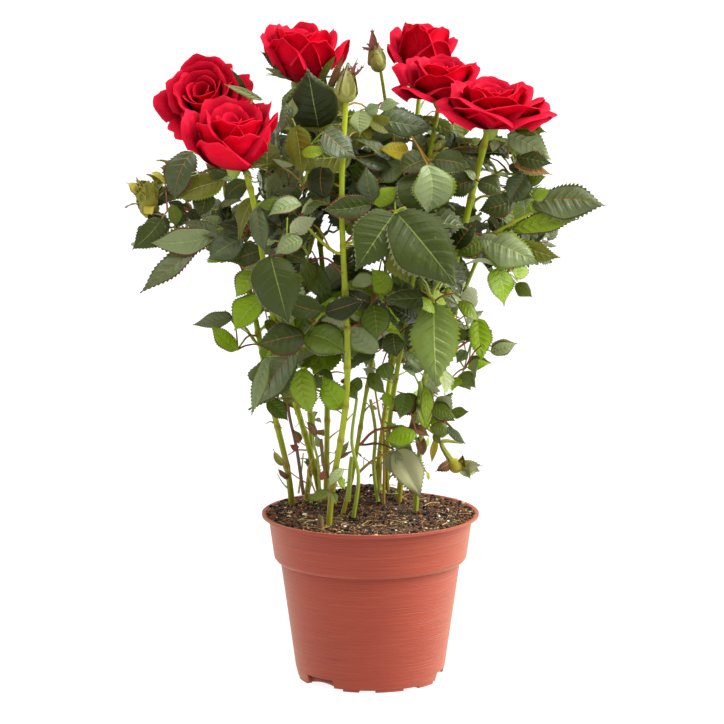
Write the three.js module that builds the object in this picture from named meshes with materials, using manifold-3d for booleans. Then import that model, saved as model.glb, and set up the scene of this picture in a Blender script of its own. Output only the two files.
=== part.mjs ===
// A patio rose in a plastic nursery pot: the pot, its peat, ten canes with their side shoots,
// the masses of foliage round them, six open roses and two buds.
// Millimetres, +Z up. The origin is the centre of the pot's underside, -Y is the front.
import * as THREE from 'three';
import { mergeVertices } from 'three/addons/utils/BufferGeometryUtils.js';
import Module from 'manifold-3d';

const wasm = await Module();
wasm.setup();

// ---- driving dimensions ----
const POT_HEIGHT = 100;
const RIM_RADIUS = 65;
const RIM_THICKNESS = 1.4;
const LIP_FLARE_RADIUS = 63.2;
const LIP_FLARE_FOOT = 98;
const COLLAR_TOP_RADIUS = 61;
const COLLAR_TOP = 97.4;
const COLLAR_FOOT_RADIUS = 58;
const COLLAR_FOOT = 75.6;
const COLLAR_UNDERSIDE = [[56.4, 72.2], [57.6, 73.6]]; // its rounded lower corner, upward
const BODY_TOP_RADIUS = 54;
const BODY_TOP = 71.4;
const BODY_FOOT_RADIUS = 45;
const BODY_FOOT = 6.8;
const BASE_RADIUS = 43.6;
const WALL = 1.5;
const PAD_HEIGHT = 1.3;
const FLOOR_UNDERSIDE = 2.4;
const FLOOR_TOP = 4.0;
const POT_SIDES = 24;

const PAD_INNER_RADIUS = 40;
const PAD_OUTER_RADIUS = 43.4;
const DRAIN_HEIGHT = 6.2;
const DRAIN_WIDTH = 21;
const DRAIN_DEPTH = 10;
const DRAIN_ANGLES = [-43.5, 76.5, 196.5];
const PADS_FROM_DRAIN = [[28, 13], [59, 23], [94, 18]];

const SOIL_EDGE = 99.4;
const SOIL_EDGE_RADIUS = 61.4;
const MOUND_HEIGHT = 12.5;
const MOUND_CENTRE_Y = 22;
const MOUND_WIDTH = 34;
const MOUND_DEPTH = 36;

const GAP = 0.3; // between the peat and the pot
const CLEARANCE = 0.38; // added to a faceted limb, leaves a gap of about 0.3
const HEAD_CLEARANCE = 0.5; // the same for the lumpier masses and roses
const CANE_SIDES = 6;
const CANE_START = 90; // height of a cane's lower end, in the peat
const SHOOT_SIDES = 5;
const SHOOT_STEPS = 4;
const STEEP = 0.6; // upward share of a limb's direction past which its section is laid out level
const FINE_MASS = 34; // half size in mm from which a mass gets the finer facets
const UNEVENNESS = 0.11;
const ROSE_SIDES = 10;
const BUD_SIDES = 7;

// ---- materials ----
function material(colour, roughness) {
  return new THREE.MeshStandardMaterial({ color: colour, roughness, metalness: 0 });
}
const terracotta = material(0xbe5544, 0.45);
const peat = material(0x3a2a20, 0.95);
const greenCane = material(0x82a03c, 0.55);
const woodyCane = material(0x8a7a4c, 0.75);
const foliage = material(0x3f5a2e, 0.6);
const petal = material(0xc01026, 0.5);
const sepal = material(0x6f8a3e, 0.6);

// ---- solids: closed meshes in, closed meshes out ----
function solid(geometry) {
  const bare = geometry.clone();
  bare.deleteAttribute('normal');
  bare.deleteAttribute('uv');
  const merged = mergeVertices(bare, 1e-4);
  return new wasm.Manifold(new wasm.Mesh({
    numProp: 3,
    vertProperties: new Float32Array(merged.attributes.position.array),
    triVerts: new Uint32Array(merged.index.array),
  }));
}

function largestBody(body) {
  return body.decompose().reduce((best, piece) => (piece.volume() > best.volume() ? piece : best));
}

function shape(body) {
  const { vertProperties, triVerts } = body.getMesh();
  const geometry = new THREE.BufferGeometry();
  geometry.setAttribute('position', new THREE.BufferAttribute(vertProperties, 3));
  geometry.setIndex(new THREE.BufferAttribute(triVerts, 1));
  geometry.computeVertexNormals();
  return geometry;
}

const plant = new THREE.Group();
function add(name, body, finish) {
  const mesh = new THREE.Mesh(shape(body), finish);
  mesh.name = name;
  plant.add(mesh);
}

// ---- pot ----
// A ring sector centred at an angle measured from the front (-Y) towards +X.
function sector(innerRadius, outerRadius, angle, width, bottom, top) {
  const middle = THREE.MathUtils.degToRad(angle - 90);
  const half = THREE.MathUtils.degToRad(width / 2);
  const outline = new THREE.Shape();
  outline.absarc(0, 0, outerRadius, middle - half, middle + half, false);
  outline.absarc(0, 0, innerRadius, middle + half, middle - half, true);
  const block = new THREE.ExtrudeGeometry(outline, {
    depth: top - bottom,
    bevelEnabled: false,
    curveSegments: 1,
  });
  return solid(block.translate(0, 0, bottom));
}

function turned(profile) {
  const points = profile.map(([radius, height]) => new THREE.Vector2(radius, height));
  const geometry = new THREE.LatheGeometry(points, POT_SIDES);
  return geometry.rotateX(Math.PI / 2);
}

function makePot() {
  let pot = solid(turned([
    [0, FLOOR_UNDERSIDE],
    [PAD_INNER_RADIUS, FLOOR_UNDERSIDE],
    [PAD_INNER_RADIUS + 1, PAD_HEIGHT],
    [BASE_RADIUS, PAD_HEIGHT],
    [BODY_FOOT_RADIUS, BODY_FOOT],
    [BODY_TOP_RADIUS, BODY_TOP],
    ...COLLAR_UNDERSIDE,
    [COLLAR_FOOT_RADIUS, COLLAR_FOOT],
    [COLLAR_TOP_RADIUS, COLLAR_TOP],
    [RIM_RADIUS, POT_HEIGHT - RIM_THICKNESS],
    [RIM_RADIUS, POT_HEIGHT],
    [LIP_FLARE_RADIUS, POT_HEIGHT],
    [COLLAR_TOP_RADIUS - WALL, LIP_FLARE_FOOT],
    [COLLAR_FOOT_RADIUS - WALL, COLLAR_FOOT],
    [BODY_TOP_RADIUS - WALL, BODY_TOP],
    [BODY_FOOT_RADIUS - WALL, BODY_FOOT],
    [BASE_RADIUS - WALL, FLOOR_TOP],
    [0, FLOOR_TOP],
  ]));
  for (const drain of DRAIN_ANGLES) {
    for (const [offset, width] of PADS_FROM_DRAIN) {
      pot = pot.add(sector(PAD_INNER_RADIUS, PAD_OUTER_RADIUS, drain + offset, width, 0, PAD_HEIGHT + 1.5));
    }
  }
  for (const drain of DRAIN_ANGLES) {
    const notch = new THREE.BoxGeometry(DRAIN_WIDTH, DRAIN_DEPTH, 2 * DRAIN_HEIGHT);
    notch.translate(0, -BODY_FOOT_RADIUS, 0);
    notch.rotateZ(THREE.MathUtils.degToRad(drain));
    pot = pot.subtract(solid(notch));
  }
  return pot;
}

// ---- peat ----
function soilHeight(x, y) {
  const heap = Math.exp(-((x / MOUND_WIDTH) ** 2) - ((y - MOUND_CENTRE_Y) / MOUND_DEPTH) ** 2);
  const fade = 1 - Math.min(1, Math.hypot(x, y) / COLLAR_TOP_RADIUS) ** 4;
  return SOIL_EDGE + MOUND_HEIGHT * heap * fade;
}

function makeSoil() {
  const inset = WALL + GAP;
  const geometry = turned([
    [0, FLOOR_TOP + GAP],
    [BASE_RADIUS - inset - 0.4, FLOOR_TOP + GAP],
    [BODY_FOOT_RADIUS - inset, BODY_FOOT],
    [BODY_TOP_RADIUS - inset, BODY_TOP],
    [COLLAR_FOOT_RADIUS - inset, COLLAR_FOOT],
    [COLLAR_TOP_RADIUS - inset, LIP_FLARE_FOOT + 0.2],
    [SOIL_EDGE_RADIUS, SOIL_EDGE],
    [44, SOIL_EDGE + 1],
    [30, SOIL_EDGE + 1],
    [15, SOIL_EDGE + 1],
    [0, SOIL_EDGE + 1],
  ]);
  const place = geometry.attributes.position;
  for (let i = 0; i < place.count; i += 1) {
    if (place.getZ(i) > SOIL_EDGE + 0.5) place.setZ(i, soilHeight(place.getX(i), place.getY(i)));
  }
  return solid(geometry);
}

// ---- limbs: one tapering, round solid bent along a smooth curve, all over larger by swell ----
function limb({ through, radius: [rootRadius, tipRadius] }, sides, steps, swell = 0) {
  const curve = new THREE.CatmullRomCurve3(through.map((point) => new THREE.Vector3(...point)));
  const overall = curve.getPoint(1).sub(curve.getPoint(0)).normalize();
  const across = Math.abs(overall.z) > STEEP ? new THREE.Vector3(1, 0, 0) : new THREE.Vector3(0, 0, 1);
  const geometry = new THREE.CylinderGeometry(tipRadius, rootRadius, 1, sides, steps);
  const place = geometry.attributes.position;
  for (let i = 0; i < place.count; i += 1) {
    const along = THREE.MathUtils.clamp(place.getY(i) + 0.5, 0, 1);
    const tangent = curve.getTangentAt(along);
    const side = across.clone().addScaledVector(tangent, -across.dot(tangent)).normalize();
    const front = new THREE.Vector3().crossVectors(side, tangent);
    const flat = new THREE.Vector2(place.getX(i), place.getZ(i));
    const onAxis = flat.length() < 1e-6;
    if (!onAxis) flat.setLength(flat.length() + swell);
    const spot = curve.getPointAt(along).addScaledVector(side, flat.x).addScaledVector(front, flat.y);
    if (along === 0) spot.addScaledVector(tangent, -swell);
    if (along === 1) spot.addScaledVector(tangent, swell);
    place.setXYZ(i, spot.x, spot.y, spot.z);
  }
  return solid(geometry);
}

// Each cane: its foot in the peat, the points it runs through up to its tip, its radius at both ends.
const CANES = {
  cane_left: {
    foot: [-47, 20],
    through: [[-48, 18, 118], [-57, 9, 154], [-72, -5, 238], [-82, -2, 274], [-90, 12, 322], [-91, 14, 337]],
    radius: [2.1, 1.5],
  },
  cane_back_left: {
    foot: [-41, 27],
    through: [[-36, 33, 119], [-36, 40, 152], [-44, 54, 205], [-57, 57, 284]],
    radius: [1.9, 1.3],
  },
  cane_cup: {
    foot: [-28, 29],
    through: [
      [-34, 16, 127], [-42, -4, 158], [-53, -34, 204], [-61, -57, 255], [-69, -56, 306], [-75, -54, 323],
    ],
    radius: [2.0, 1.9],
  },
  cane_front: {
    foot: [-25, -35],
    through: [
      [-23, -37, 125], [-15, -46, 163], [-13, -56, 205], [-15, -63, 250], [-17, -63, 305], [-14, -57, 352],
    ],
    radius: [2.1, 1.7],
  },
  cane_crown: {
    foot: [-27, 8],
    through: [[-26, 22, 149], [-26, 24, 190], [-31, 10, 275], [-43, -1, 335], [-43, 0, 362]],
    radius: [1.9, 1.5],
  },
  cane_slim: {
    foot: [-20, -18],
    through: [[-11, -16, 122], [-6, -11, 155], [4, -4, 211], [14, 8, 300], [6, 8, 364]],
    radius: [1.5, 1.1],
  },
  cane_back: {
    foot: [6, 9],
    through: [[4, 15, 120], [11, 33, 167], [19, 51, 228], [27, 53, 320], [31, 49, 362]],
    radius: [2.0, 1.5],
  },
  cane_middle: {
    foot: [12, 20],
    through: [[9, 13, 128], [14, -3, 176], [25, -24, 244], [31, -17, 296], [41, -5, 350]],
    radius: [1.7, 1.5],
  },
  cane_right: {
    foot: [16, 2],
    through: [[18, 2, 122], [28, -13, 168], [43, -31, 228], [55, -38, 281], [68, -41, 336]],
    radius: [2.0, 2.1],
  },
  cane_back_right: {
    foot: [26, 33],
    through: [[30, 40, 128], [41, 56, 186], [60, 64, 230], [78, 62, 278]],
    radius: [1.6, 1.2],
  },
};

// Side shoots start inside the cane that bears them and are cut back to its surface.
const SHOOTS = {
  shoot_left: { through: [[-78.5, -4, 262], [-93, -12, 270], [-112, -19, 280]], radius: [1.3, 0.9] },
  shoot_lower_left: { through: [[-66, -2, 201], [-74, -12, 213], [-80, -17, 217]], radius: [1.1, 0.9] },
  shoot_front_left: { through: [[-17, -64.5, 264], [-28, -66, 272], [-36, -62, 280]], radius: [1.3, 1.0] },
  shoot_right: { through: [[50, -36, 262], [69, -37, 272], [96, -32, 286]], radius: [1.5, 1.0] },
  shoot_lower_right: { through: [[32, -22, 193], [44, -23, 198], [50, -26, 203]], radius: [1.2, 0.9] },
};
const OLD_SHOOTS = {
  shoot_withered: { through: [[-7, -13, 143], [6, -16, 145], [15, -18, 141]], radius: [0.9, 0.7] },
  shoot_dried: { through: [[34, 44, 152], [46, 26, 150], [56, 14, 139]], radius: [0.9, 0.7] },
  stub_front: { through: [[-25, -38, 128], [-28, -38, 140], [-29, -40, 153]], radius: [1.5, 1.2] },
  stub_cut: { through: [[-29, -44, CANE_START], [-29, -44, 98], [-29.5, -44, 108]], radius: [2.4, 2.3] },
};

// ---- foliage: uneven closed lumps, each with its own centre, half sizes and seed ----
function lump({ centre, half }, seed, swell) {
  const detail = Math.max(...half) < FINE_MASS ? 1 : 2;
  const geometry = new THREE.IcosahedronGeometry(1, detail);
  const place = geometry.attributes.position;
  for (let i = 0; i < place.count; i += 1) {
    const out = new THREE.Vector3().fromBufferAttribute(place, i).normalize();
    // three unrelated waves over the sphere, shifted by the seed
    const wave = Math.sin(2.6 * out.x + 1.9 * seed) * Math.cos(2.3 * out.y - 1.3 * seed)
      + 0.6 * Math.sin(4.1 * out.z + 3.7 * out.x + 2.9 * seed)
      + 0.4 * Math.cos(5.3 * out.y - 4.7 * out.z + 0.7 * seed);
    const reach = 1 + UNEVENNESS * wave;
    const spot = out.clone().multiply(new THREE.Vector3(...half)).multiplyScalar(reach);
    spot.addScaledVector(out, swell).add(new THREE.Vector3(...centre));
    place.setXYZ(i, spot.x, spot.y, spot.z);
  }
  return solid(geometry);
}

const MASSES = {
  leaves_left_tip: { centre: [-118, -20, 277], half: [21, 20, 27] },
  leaves_left_upper: { centre: [-97, -14, 294], half: [23, 26, 20] },
  leaves_left_inner: { centre: [-76, -22, 271], half: [19, 24, 23] },
  leaves_left_back: { centre: [-76, 46, 278], half: [33, 34, 34] },
  leaves_lower_left_tip: { centre: [-88, -20, 217], half: [15, 12, 10] },
  leaves_lower_left: { centre: [-62, -24, 214], half: [21, 26, 21] },
  leaves_low_left: { centre: [-53, -18, 179], half: [21, 24, 17] },
  leaves_centre_left: { centre: [-43, -60, 286], half: [24, 24, 32] },
  leaves_centre_front: { centre: [-33, -48, 230], half: [24, 26, 28] },
  leaves_top_left: { centre: [-32, -22, 334], half: [24, 24, 32] },
  leaves_top_middle: { centre: [2, -32, 316], half: [24, 28, 28] },
  leaves_top_right: { centre: [20, -4, 340], half: [17, 20, 9] },
  leaves_centre: { centre: [12, -52, 272], half: [28, 30, 32] },
  leaves_centre_low: { centre: [0, -34, 220], half: [24, 28, 24] },
  leaves_low_middle: { centre: [-26, -24, 181], half: [15, 18, 14] },
  leaves_low_centre: { centre: [4, 6, 183], half: [15, 16, 13] },
  leaves_right_inner: { centre: [40, -74, 266], half: [22, 26, 34] },
  leaves_right_upper: { centre: [48, -6, 308], half: [28, 30, 26] },
  leaves_right_shoulder: { centre: [82, -30, 311], half: [22, 26, 23] },
  leaves_right_tip: { centre: [113, -28, 288], half: [25, 20, 11] },
  leaves_right_middle: { centre: [80, -20, 256], half: [24, 28, 22] },
  leaves_lower_right: { centre: [46, -34, 205], half: [25, 28, 29] },
  leaves_lower_right_tip: { centre: [73, -14, 202], half: [12, 12, 8] },
  leaves_low_right: { centre: [30, -6, 162], half: [24, 24, 17] },
  leaves_back_left_high: { centre: [-38, 54, 296], half: [38, 38, 42] },
  leaves_back_right_high: { centre: [36, 62, 288], half: [44, 38, 44] },
  leaves_back_low_left: { centre: [-38, 64, 214], half: [36, 36, 36] },
  leaves_back_low_right: { centre: [32, 64, 208], half: [38, 36, 38] },
  leaves_back_right_side: { centre: [86, 40, 270], half: [28, 34, 32] },
  leaf_withered: { centre: [22, -19, 131], half: [9, 7, 15] },
  sprig_dried: { centre: [58, 12, 132], half: [12, 8, 8] },
};

// ---- roses and buds: uneven cups, turned about their own axis and tilted to face out ----
function cup({ centre, half, facing }, seed, sides, swell) {
  const profile = [[0, -0.8], [0.34, -0.72], [0.78, -0.3], [1, 0.3], [0.8, 0.75], [0.4, 0.62], [0, 0.7]];
  const points = profile.map(([radius, height]) => new THREE.Vector2(radius, height));
  const geometry = new THREE.LatheGeometry(points, sides).rotateX(Math.PI / 2);
  const place = geometry.attributes.position;
  const turn = new THREE.Quaternion().setFromUnitVectors(
    new THREE.Vector3(0, 0, 1),
    new THREE.Vector3(...facing).normalize(),
  );
  for (let i = 0; i < place.count; i += 1) {
    const spot = new THREE.Vector3().fromBufferAttribute(place, i);
    const round = Math.atan2(spot.y, spot.x);
    const frill = 1 + 0.07 * Math.sin(5 * round + seed) + 0.05 * Math.cos(3 * round - 2 * seed);
    const [wide, deep, high] = half.map((size) => size + swell);
    spot.set(spot.x * frill * wide, spot.y * frill * deep, spot.z * high);
    spot.applyQuaternion(turn).add(new THREE.Vector3(...centre));
    place.setXYZ(i, spot.x, spot.y, spot.z);
  }
  return solid(geometry);
}

const ROSES = {
  rose_left: { centre: [-94, 2, 347], half: [27, 27, 21], facing: [-0.25, -0.75, 0.6] },
  rose_front_left: { centre: [-77, -61, 336], half: [29, 27, 21], facing: [-0.1, -0.5, 0.85] },
  rose_top: { centre: [-42, 0, 376], half: [24, 24, 19], facing: [0.05, -0.1, 1] },
  rose_back: { centre: [31, 48, 373], half: [20, 20, 17], facing: [0.1, 0.2, 1] },
  rose_middle: { centre: [42, -5, 360], half: [27, 25, 15], facing: [0, -0.1, 1] },
  rose_right: { centre: [69, -43, 347], half: [34, 32, 17], facing: [0.05, -0.2, 1] },
};

const BUDS = {
  bud_front: { centre: [-14, -57, 360], half: [6, 6, 12], facing: [0.05, 0, 1] },
  bud_slim: { centre: [4, 8, 375], half: [5, 5, 16], facing: [-0.15, 0, 1] },
};

// ---- assembly: limbs stand whole, and what grows round them is cut clear of them ----
add('pot', makePot(), terracotta);

const limbClearances = [];
function addLimb(name, line, sides, steps, finish) {
  let body = limb(line, sides, steps);
  for (const clearance of limbClearances) body = body.subtract(clearance);
  add(name, largestBody(body), finish);
  limbClearances.push(limb(line, sides, steps, CLEARANCE));
}

for (const [name, { foot, through, radius }] of Object.entries(CANES)) {
  const line = { through: [[...foot, CANE_START], ...through], radius };
  addLimb(name, line, CANE_SIDES, through.length + 3, greenCane);
}
for (const [name, line] of Object.entries(SHOOTS)) {
  addLimb(name, line, SHOOT_SIDES, SHOOT_STEPS, greenCane);
}
for (const [name, line] of Object.entries(OLD_SHOOTS)) {
  addLimb(name, line, SHOOT_SIDES, SHOOT_STEPS, woodyCane);
}

let soil = makeSoil();
for (const clearance of limbClearances) soil = soil.subtract(clearance);
add('soil', largestBody(soil), peat);

// Roses, buds and masses in turn, each with its own seed, each cut clear of those before it.
const headClearances = [];
let seed = 0;
function addHeads(table, make, finish) {
  for (const [name, sizes] of Object.entries(table)) {
    seed += 1;
    let body = make(sizes, seed, 0);
    for (const clearance of [...limbClearances, ...headClearances]) body = body.subtract(clearance);
    add(name, largestBody(body), finish);
    headClearances.push(make(sizes, seed, HEAD_CLEARANCE));
  }
}
addHeads(ROSES, (sizes, number, swell) => cup(sizes, number, ROSE_SIDES, swell), petal);
addHeads(BUDS, (sizes, number, swell) => cup(sizes, number, BUD_SIDES, swell), sepal);
addHeads(MASSES, lump, foliage);

export default plant;
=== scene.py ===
"""A patio rose in a plastic pot: pot, peat, canes, foliage grown by a seeded rule, six roses and two buds.

It is laid out as an add-on and run as a script. -Y is the front and +Z is up. The plant is worked out in
millimetres and becomes metres as each piece is made; the pot and the peat are in metres throughout.
"""
import random
from math import atan2, cos, exp, hypot, pi, radians, sin, sqrt

import bpy
import numpy as np
from bpy.props import FloatProperty, FloatVectorProperty, IntProperty, PointerProperty
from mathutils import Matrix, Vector


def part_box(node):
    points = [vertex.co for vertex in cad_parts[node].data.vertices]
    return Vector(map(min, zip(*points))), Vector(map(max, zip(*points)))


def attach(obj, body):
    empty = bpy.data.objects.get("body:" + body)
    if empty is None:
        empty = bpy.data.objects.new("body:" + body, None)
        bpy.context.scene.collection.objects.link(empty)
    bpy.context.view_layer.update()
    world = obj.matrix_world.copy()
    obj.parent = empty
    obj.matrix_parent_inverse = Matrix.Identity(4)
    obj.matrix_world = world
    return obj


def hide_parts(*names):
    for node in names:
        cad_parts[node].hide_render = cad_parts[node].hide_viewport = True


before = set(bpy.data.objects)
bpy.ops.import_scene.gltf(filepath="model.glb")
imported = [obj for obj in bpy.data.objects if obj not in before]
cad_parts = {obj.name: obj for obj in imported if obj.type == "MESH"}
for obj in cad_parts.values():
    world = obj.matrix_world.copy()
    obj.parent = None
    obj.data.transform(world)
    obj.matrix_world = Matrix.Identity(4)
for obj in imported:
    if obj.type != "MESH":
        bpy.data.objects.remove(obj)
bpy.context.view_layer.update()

bl_info = {
    "name": "Patio rose",
    "version": (1, 0, 0),
    "blender": (4, 5, 0),
    "location": "View3D > Sidebar > Rose",
    "description": "Models a potted patio rose round its packed frame",
    "category": "Add Mesh",
}

MM = 0.001
GOLDEN_ANGLE = radians(137.5)
FULL_TURN = 2 * pi
ANY_TURN = 6.28  # the largest random heading
UP = np.array([0.0, 0.0, 1.0])
CURVE_STEPS = 12  # steps of a smooth curve between two of its given points

CANES = [
    "cane_left", "cane_back_left", "cane_cup", "cane_front", "cane_crown",
    "cane_slim", "cane_back", "cane_middle", "cane_right", "cane_back_right",
]
# Each side shoot and the cane that bears it.
SHOOTS = {
    "shoot_left": "cane_left", "shoot_lower_left": "cane_left", "shoot_front_left": "cane_front",
    "shoot_right": "cane_right", "shoot_lower_right": "cane_right",
}
# The same for the old wood; the two stubs stand in the peat.
OLD_SHOOTS = {
    "shoot_withered": "cane_slim", "shoot_dried": "cane_back_right", "stub_front": None, "stub_cut": None,
}


# ---- small sums ----
def unit(vector):
    """A vector of length one."""
    vector = np.asarray(vector, float)
    return vector / max(float(np.linalg.norm(vector)), 1e-9)


def turned(vector, axis, angle):
    """A vector turned about an axis by an angle in radians."""
    axis = unit(axis)
    return (vector * cos(angle) + np.cross(axis, vector) * sin(angle)
            + axis * float(np.dot(axis, vector)) * (1 - cos(angle)))


def smooth_step(low, high, value):
    """0 below low, 1 above high, and a smooth ramp between."""
    share = np.clip((np.asarray(value, float) - low) / (high - low), 0, 1)
    return share * share * (3 - 2 * share)


def run_along(line):
    """How far along a line each of its points is."""
    return np.concatenate([[0], np.cumsum(np.linalg.norm(np.diff(line, axis=0), axis=1))])


def through(points, count):
    """Count points at even steps on a smooth curve through the given ones."""
    points = np.asarray(points, float)
    padded = np.vstack([2 * points[0] - points[1], points, 2 * points[-1] - points[-2]])
    fine = []
    for before, start, end, after in zip(padded, padded[1:], padded[2:], padded[3:]):
        for share in np.linspace(0, 1, CURVE_STEPS, endpoint=False):
            fine.append(0.5 * (2 * start + (end - before) * share
                               + (2 * before - 5 * start + 4 * end - after) * share ** 2
                               + (3 * start - before - 3 * end + after) * share ** 3))
    fine = np.vstack(fine + [points[-1]])
    run = run_along(fine)
    steps = np.linspace(0, run[-1], count)
    return np.stack([np.interp(steps, run, fine[:, axis]) for axis in range(3)], axis=1)


def flower_frame(facing):
    """Three directions of a flower: to the right across it, to the back across it, and the way it faces."""
    axis = unit(facing)
    right = unit(np.array([1.0, 0, 0]) - axis * axis[0])
    return right, np.cross(axis, right), axis


def node_box(name):
    """Lowest and highest corner of a node of the frame, in mm."""
    low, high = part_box(name)
    return np.array(low) / MM, np.array(high) / MM


def node_middle(name):
    """Middle and half sizes of a node's box, in mm."""
    low, high = node_box(name)
    return (low + high) / 2, (high - low) / 2


def linear(code):
    """The linear colour of a screen colour written as six hex digits."""
    levels = [int(code[place:place + 2], 16) / 255 for place in (0, 2, 4)]
    return tuple(level / 12.92 if level <= 0.04045 else ((level + 0.055) / 1.055) ** 2.4 for level in levels)


def opaque(colour):
    """A colour's three levels with an alpha of one; the colour may be written as six hex digits."""
    levels = linear(colour) if isinstance(colour, str) else colour[:3]
    return (*levels, 1.0)


# ---- finishes ----
class Value:
    """A shader value: arithmetic on it adds Math nodes."""

    def __init__(self, finish, socket):
        self.finish = finish
        self.socket = socket

    def math(self, operation, first, second):
        made = self.finish.node("ShaderNodeMath", {"operation": operation}, {0: first, 1: second})
        return Value(self.finish, made.outputs[0])

    def __add__(self, other):
        return self.math("ADD", self, other)

    def __sub__(self, other):
        return self.math("SUBTRACT", self, other)

    def __rsub__(self, other):
        return self.math("SUBTRACT", other, self)

    def __mul__(self, other):
        return self.math("MULTIPLY", self, other)

    __radd__ = __add__
    __rmul__ = __mul__

    def wave(self):
        """Swings from -1 to 1 once for each whole number."""
        return self.math("SINE", self * FULL_TURN, 0.0)

    def ramp(self, low, high):
        """0 below low and 1 above high."""
        made = self.finish.node(
            "ShaderNodeMapRange",
            {"interpolation_type": "SMOOTHSTEP"},
            {"Value": self, "From Min": low, "From Max": high},
        )
        return Value(self.finish, made.outputs[0])


class Finish:
    """One material: its shader's constants, and the nodes that vary it."""

    def __init__(self, name, colour, roughness, constants=None):
        self.material = bpy.data.materials.new(name)
        self.material.use_nodes = True
        self.tree = self.material.node_tree
        self.shader = self.tree.nodes["Principled BSDF"]
        self.colour = opaque(colour)
        self.material.diffuse_color = self.colour
        fixed = {"Base Color": self.colour, "Roughness": roughness, **(constants or {})}
        for socket, value in fixed.items():
            self.shader.inputs[socket].default_value = value

    def feed(self, socket, value):
        if isinstance(value, Value):
            value = value.socket
        if isinstance(value, bpy.types.NodeSocket):
            self.tree.links.new(value, socket)
        else:
            socket.default_value = value

    def node(self, kind, settings=None, inputs=None):
        """A node of a type, with its settings and the values or links of its sockets."""
        made = self.tree.nodes.new(kind)
        for setting, value in (settings or {}).items():
            setattr(made, setting, value)
        for socket, value in (inputs or {}).items():
            self.feed(made.inputs[socket], value)
        return made

    def place(self, scale=(1, 1, 1), turn=(0, 0, 0)):
        """The piece's own coordinates in metres, turned and scaled."""
        coordinates = self.node("ShaderNodeTexCoord").outputs["Object"]
        mapped = self.node("ShaderNodeMapping", inputs={
            "Vector": coordinates, "Scale": scale, "Rotation": turn,
        })
        return mapped.outputs[0]

    def noise(self, place, scale, detail=3.0, distortion=0.0):
        """Soft noise from 0 to 1, with about scale lumps to the metre."""
        made = self.node("ShaderNodeTexNoise", inputs={
            "Vector": place, "Scale": scale, "Detail": detail, "Distortion": distortion,
        })
        return Value(self, made.outputs["Fac"])

    def mark(self, name):
        """A number that the mesh carries at each point."""
        made = self.node("ShaderNodeAttribute", {"attribute_name": name})
        return Value(self, made.outputs["Fac"])

    def mix(self, share, first, second):
        made = self.node("ShaderNodeMix", {"data_type": "RGBA"})
        colours = [socket for socket in made.inputs if socket.type == "RGBA"]
        self.feed(made.inputs["Factor"], share)
        self.feed(colours[0], first)
        self.feed(colours[1], second)
        return next(socket for socket in made.outputs if socket.type == "RGBA")

    def paint(self, colour):
        self.feed(self.shader.inputs["Base Color"], colour)

    def polish(self, roughness):
        self.feed(self.shader.inputs["Roughness"], roughness)

    def relief(self, height, depth):
        """A bump of that depth in metres."""
        bump = self.node("ShaderNodeBump", inputs={"Height": height, "Distance": depth})
        self.feed(self.shader.inputs["Normal"], bump.outputs[0])


PLASTIC_SHINE = {
    "Specular IOR Level": 0.3, "Sheen Weight": 0.3, "Sheen Roughness": 0.45,
    "Sheen Tint": (1.0, 0.72, 0.4, 1.0),
}
PLASTIC_CLOUD, PLASTIC_LINE, PLASTIC_EDGE = "9c3c2a", "8c3323", "c06248"
PEAT_WET, PEAT_DRY = "160a04", "a58358"
BARK_RING, BARK_SPECK = "7d4a22", "7b4a2b"
SHINY_LEAVES = ("leaf_slate", "leaf_grey", "leaf_sage", "leaf_gloss", "leaf_pale")
SIDE_VEINS = 7.5  # side veins on each half of a leaflet
VEIN_SLANT = 1.2  # how many veins further on a side vein ends than it starts


def plastic_finish(look):
    """Satin terracotta plastic with the fine wavering lines of its mould."""
    finish = Finish("pot_plastic", look.plastic, 0.42, PLASTIC_SHINE)
    fine_place = finish.place((26, 26, 1500), (0, radians(1.6), 0))
    fine = finish.noise(fine_place, scale=1.0, detail=2.0, distortion=0.5)
    broad_place = finish.place((30, 30, 620), (0, radians(-1.0), 0))
    broad = finish.noise(broad_place, scale=1.0, detail=3.0, distortion=0.8)
    cloud = finish.noise(finish.place(), scale=20.0, detail=2.0)
    lines = fine * 0.65 + broad * 0.35
    body = finish.mix(cloud.ramp(0.3, 0.7), finish.colour, opaque(PLASTIC_CLOUD))
    dark = finish.mix(lines.ramp(0.35, 0.52) * -0.45 + 0.45, body, opaque(PLASTIC_LINE))
    finish.paint(finish.mix(lines.ramp(0.54, 0.72) * 0.3, dark, opaque(PLASTIC_EDGE)))
    finish.polish(0.36 + lines * 0.2)
    finish.relief(lines, depth=0.0007)
    return finish.material


def peat_finish(look):
    """Dark damp peat, mottled fine and coarse."""
    finish = Finish("peat", look.peat, 0.95)
    place = finish.place()
    coarse = finish.noise(place, scale=160.0, detail=4.0)
    fine = finish.noise(place, scale=900.0, detail=2.0)
    body = finish.mix(coarse.ramp(0.35, 0.65), finish.colour, opaque(PEAT_WET))
    finish.paint(finish.mix(fine.ramp(0.55, 0.75), body, opaque(PEAT_DRY)))
    finish.relief(coarse + fine * 0.4, depth=0.0012)
    return finish.material


def bark_finish(name, young, streaked, old, roughness=0.4):
    """Smooth bark with faint long streaks, older at the foot and brown round each node."""
    finish = Finish(name, young, roughness, {"Specular IOR Level": 0.25})
    streak = finish.noise(finish.place((260, 260, 26)), scale=1.0)
    speck = finish.noise(finish.place(), scale=520.0, detail=2.0)
    body = finish.mix(streak.ramp(0.35, 0.7), finish.colour, opaque(streaked))
    aged = finish.mix(finish.mark("age") * (0.55 + streak * 0.6), body, opaque(old))
    ringed = finish.mix(finish.mark("ring") * 0.5, aged, opaque(BARK_RING))
    finish.paint(finish.mix(speck.ramp(0.66, 0.74) * 0.4, ringed, opaque(BARK_SPECK)))
    finish.polish((roughness - 0.05) + streak * 0.15)
    finish.relief(streak + speck * 0.3, depth=0.00025)
    return finish.material


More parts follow.
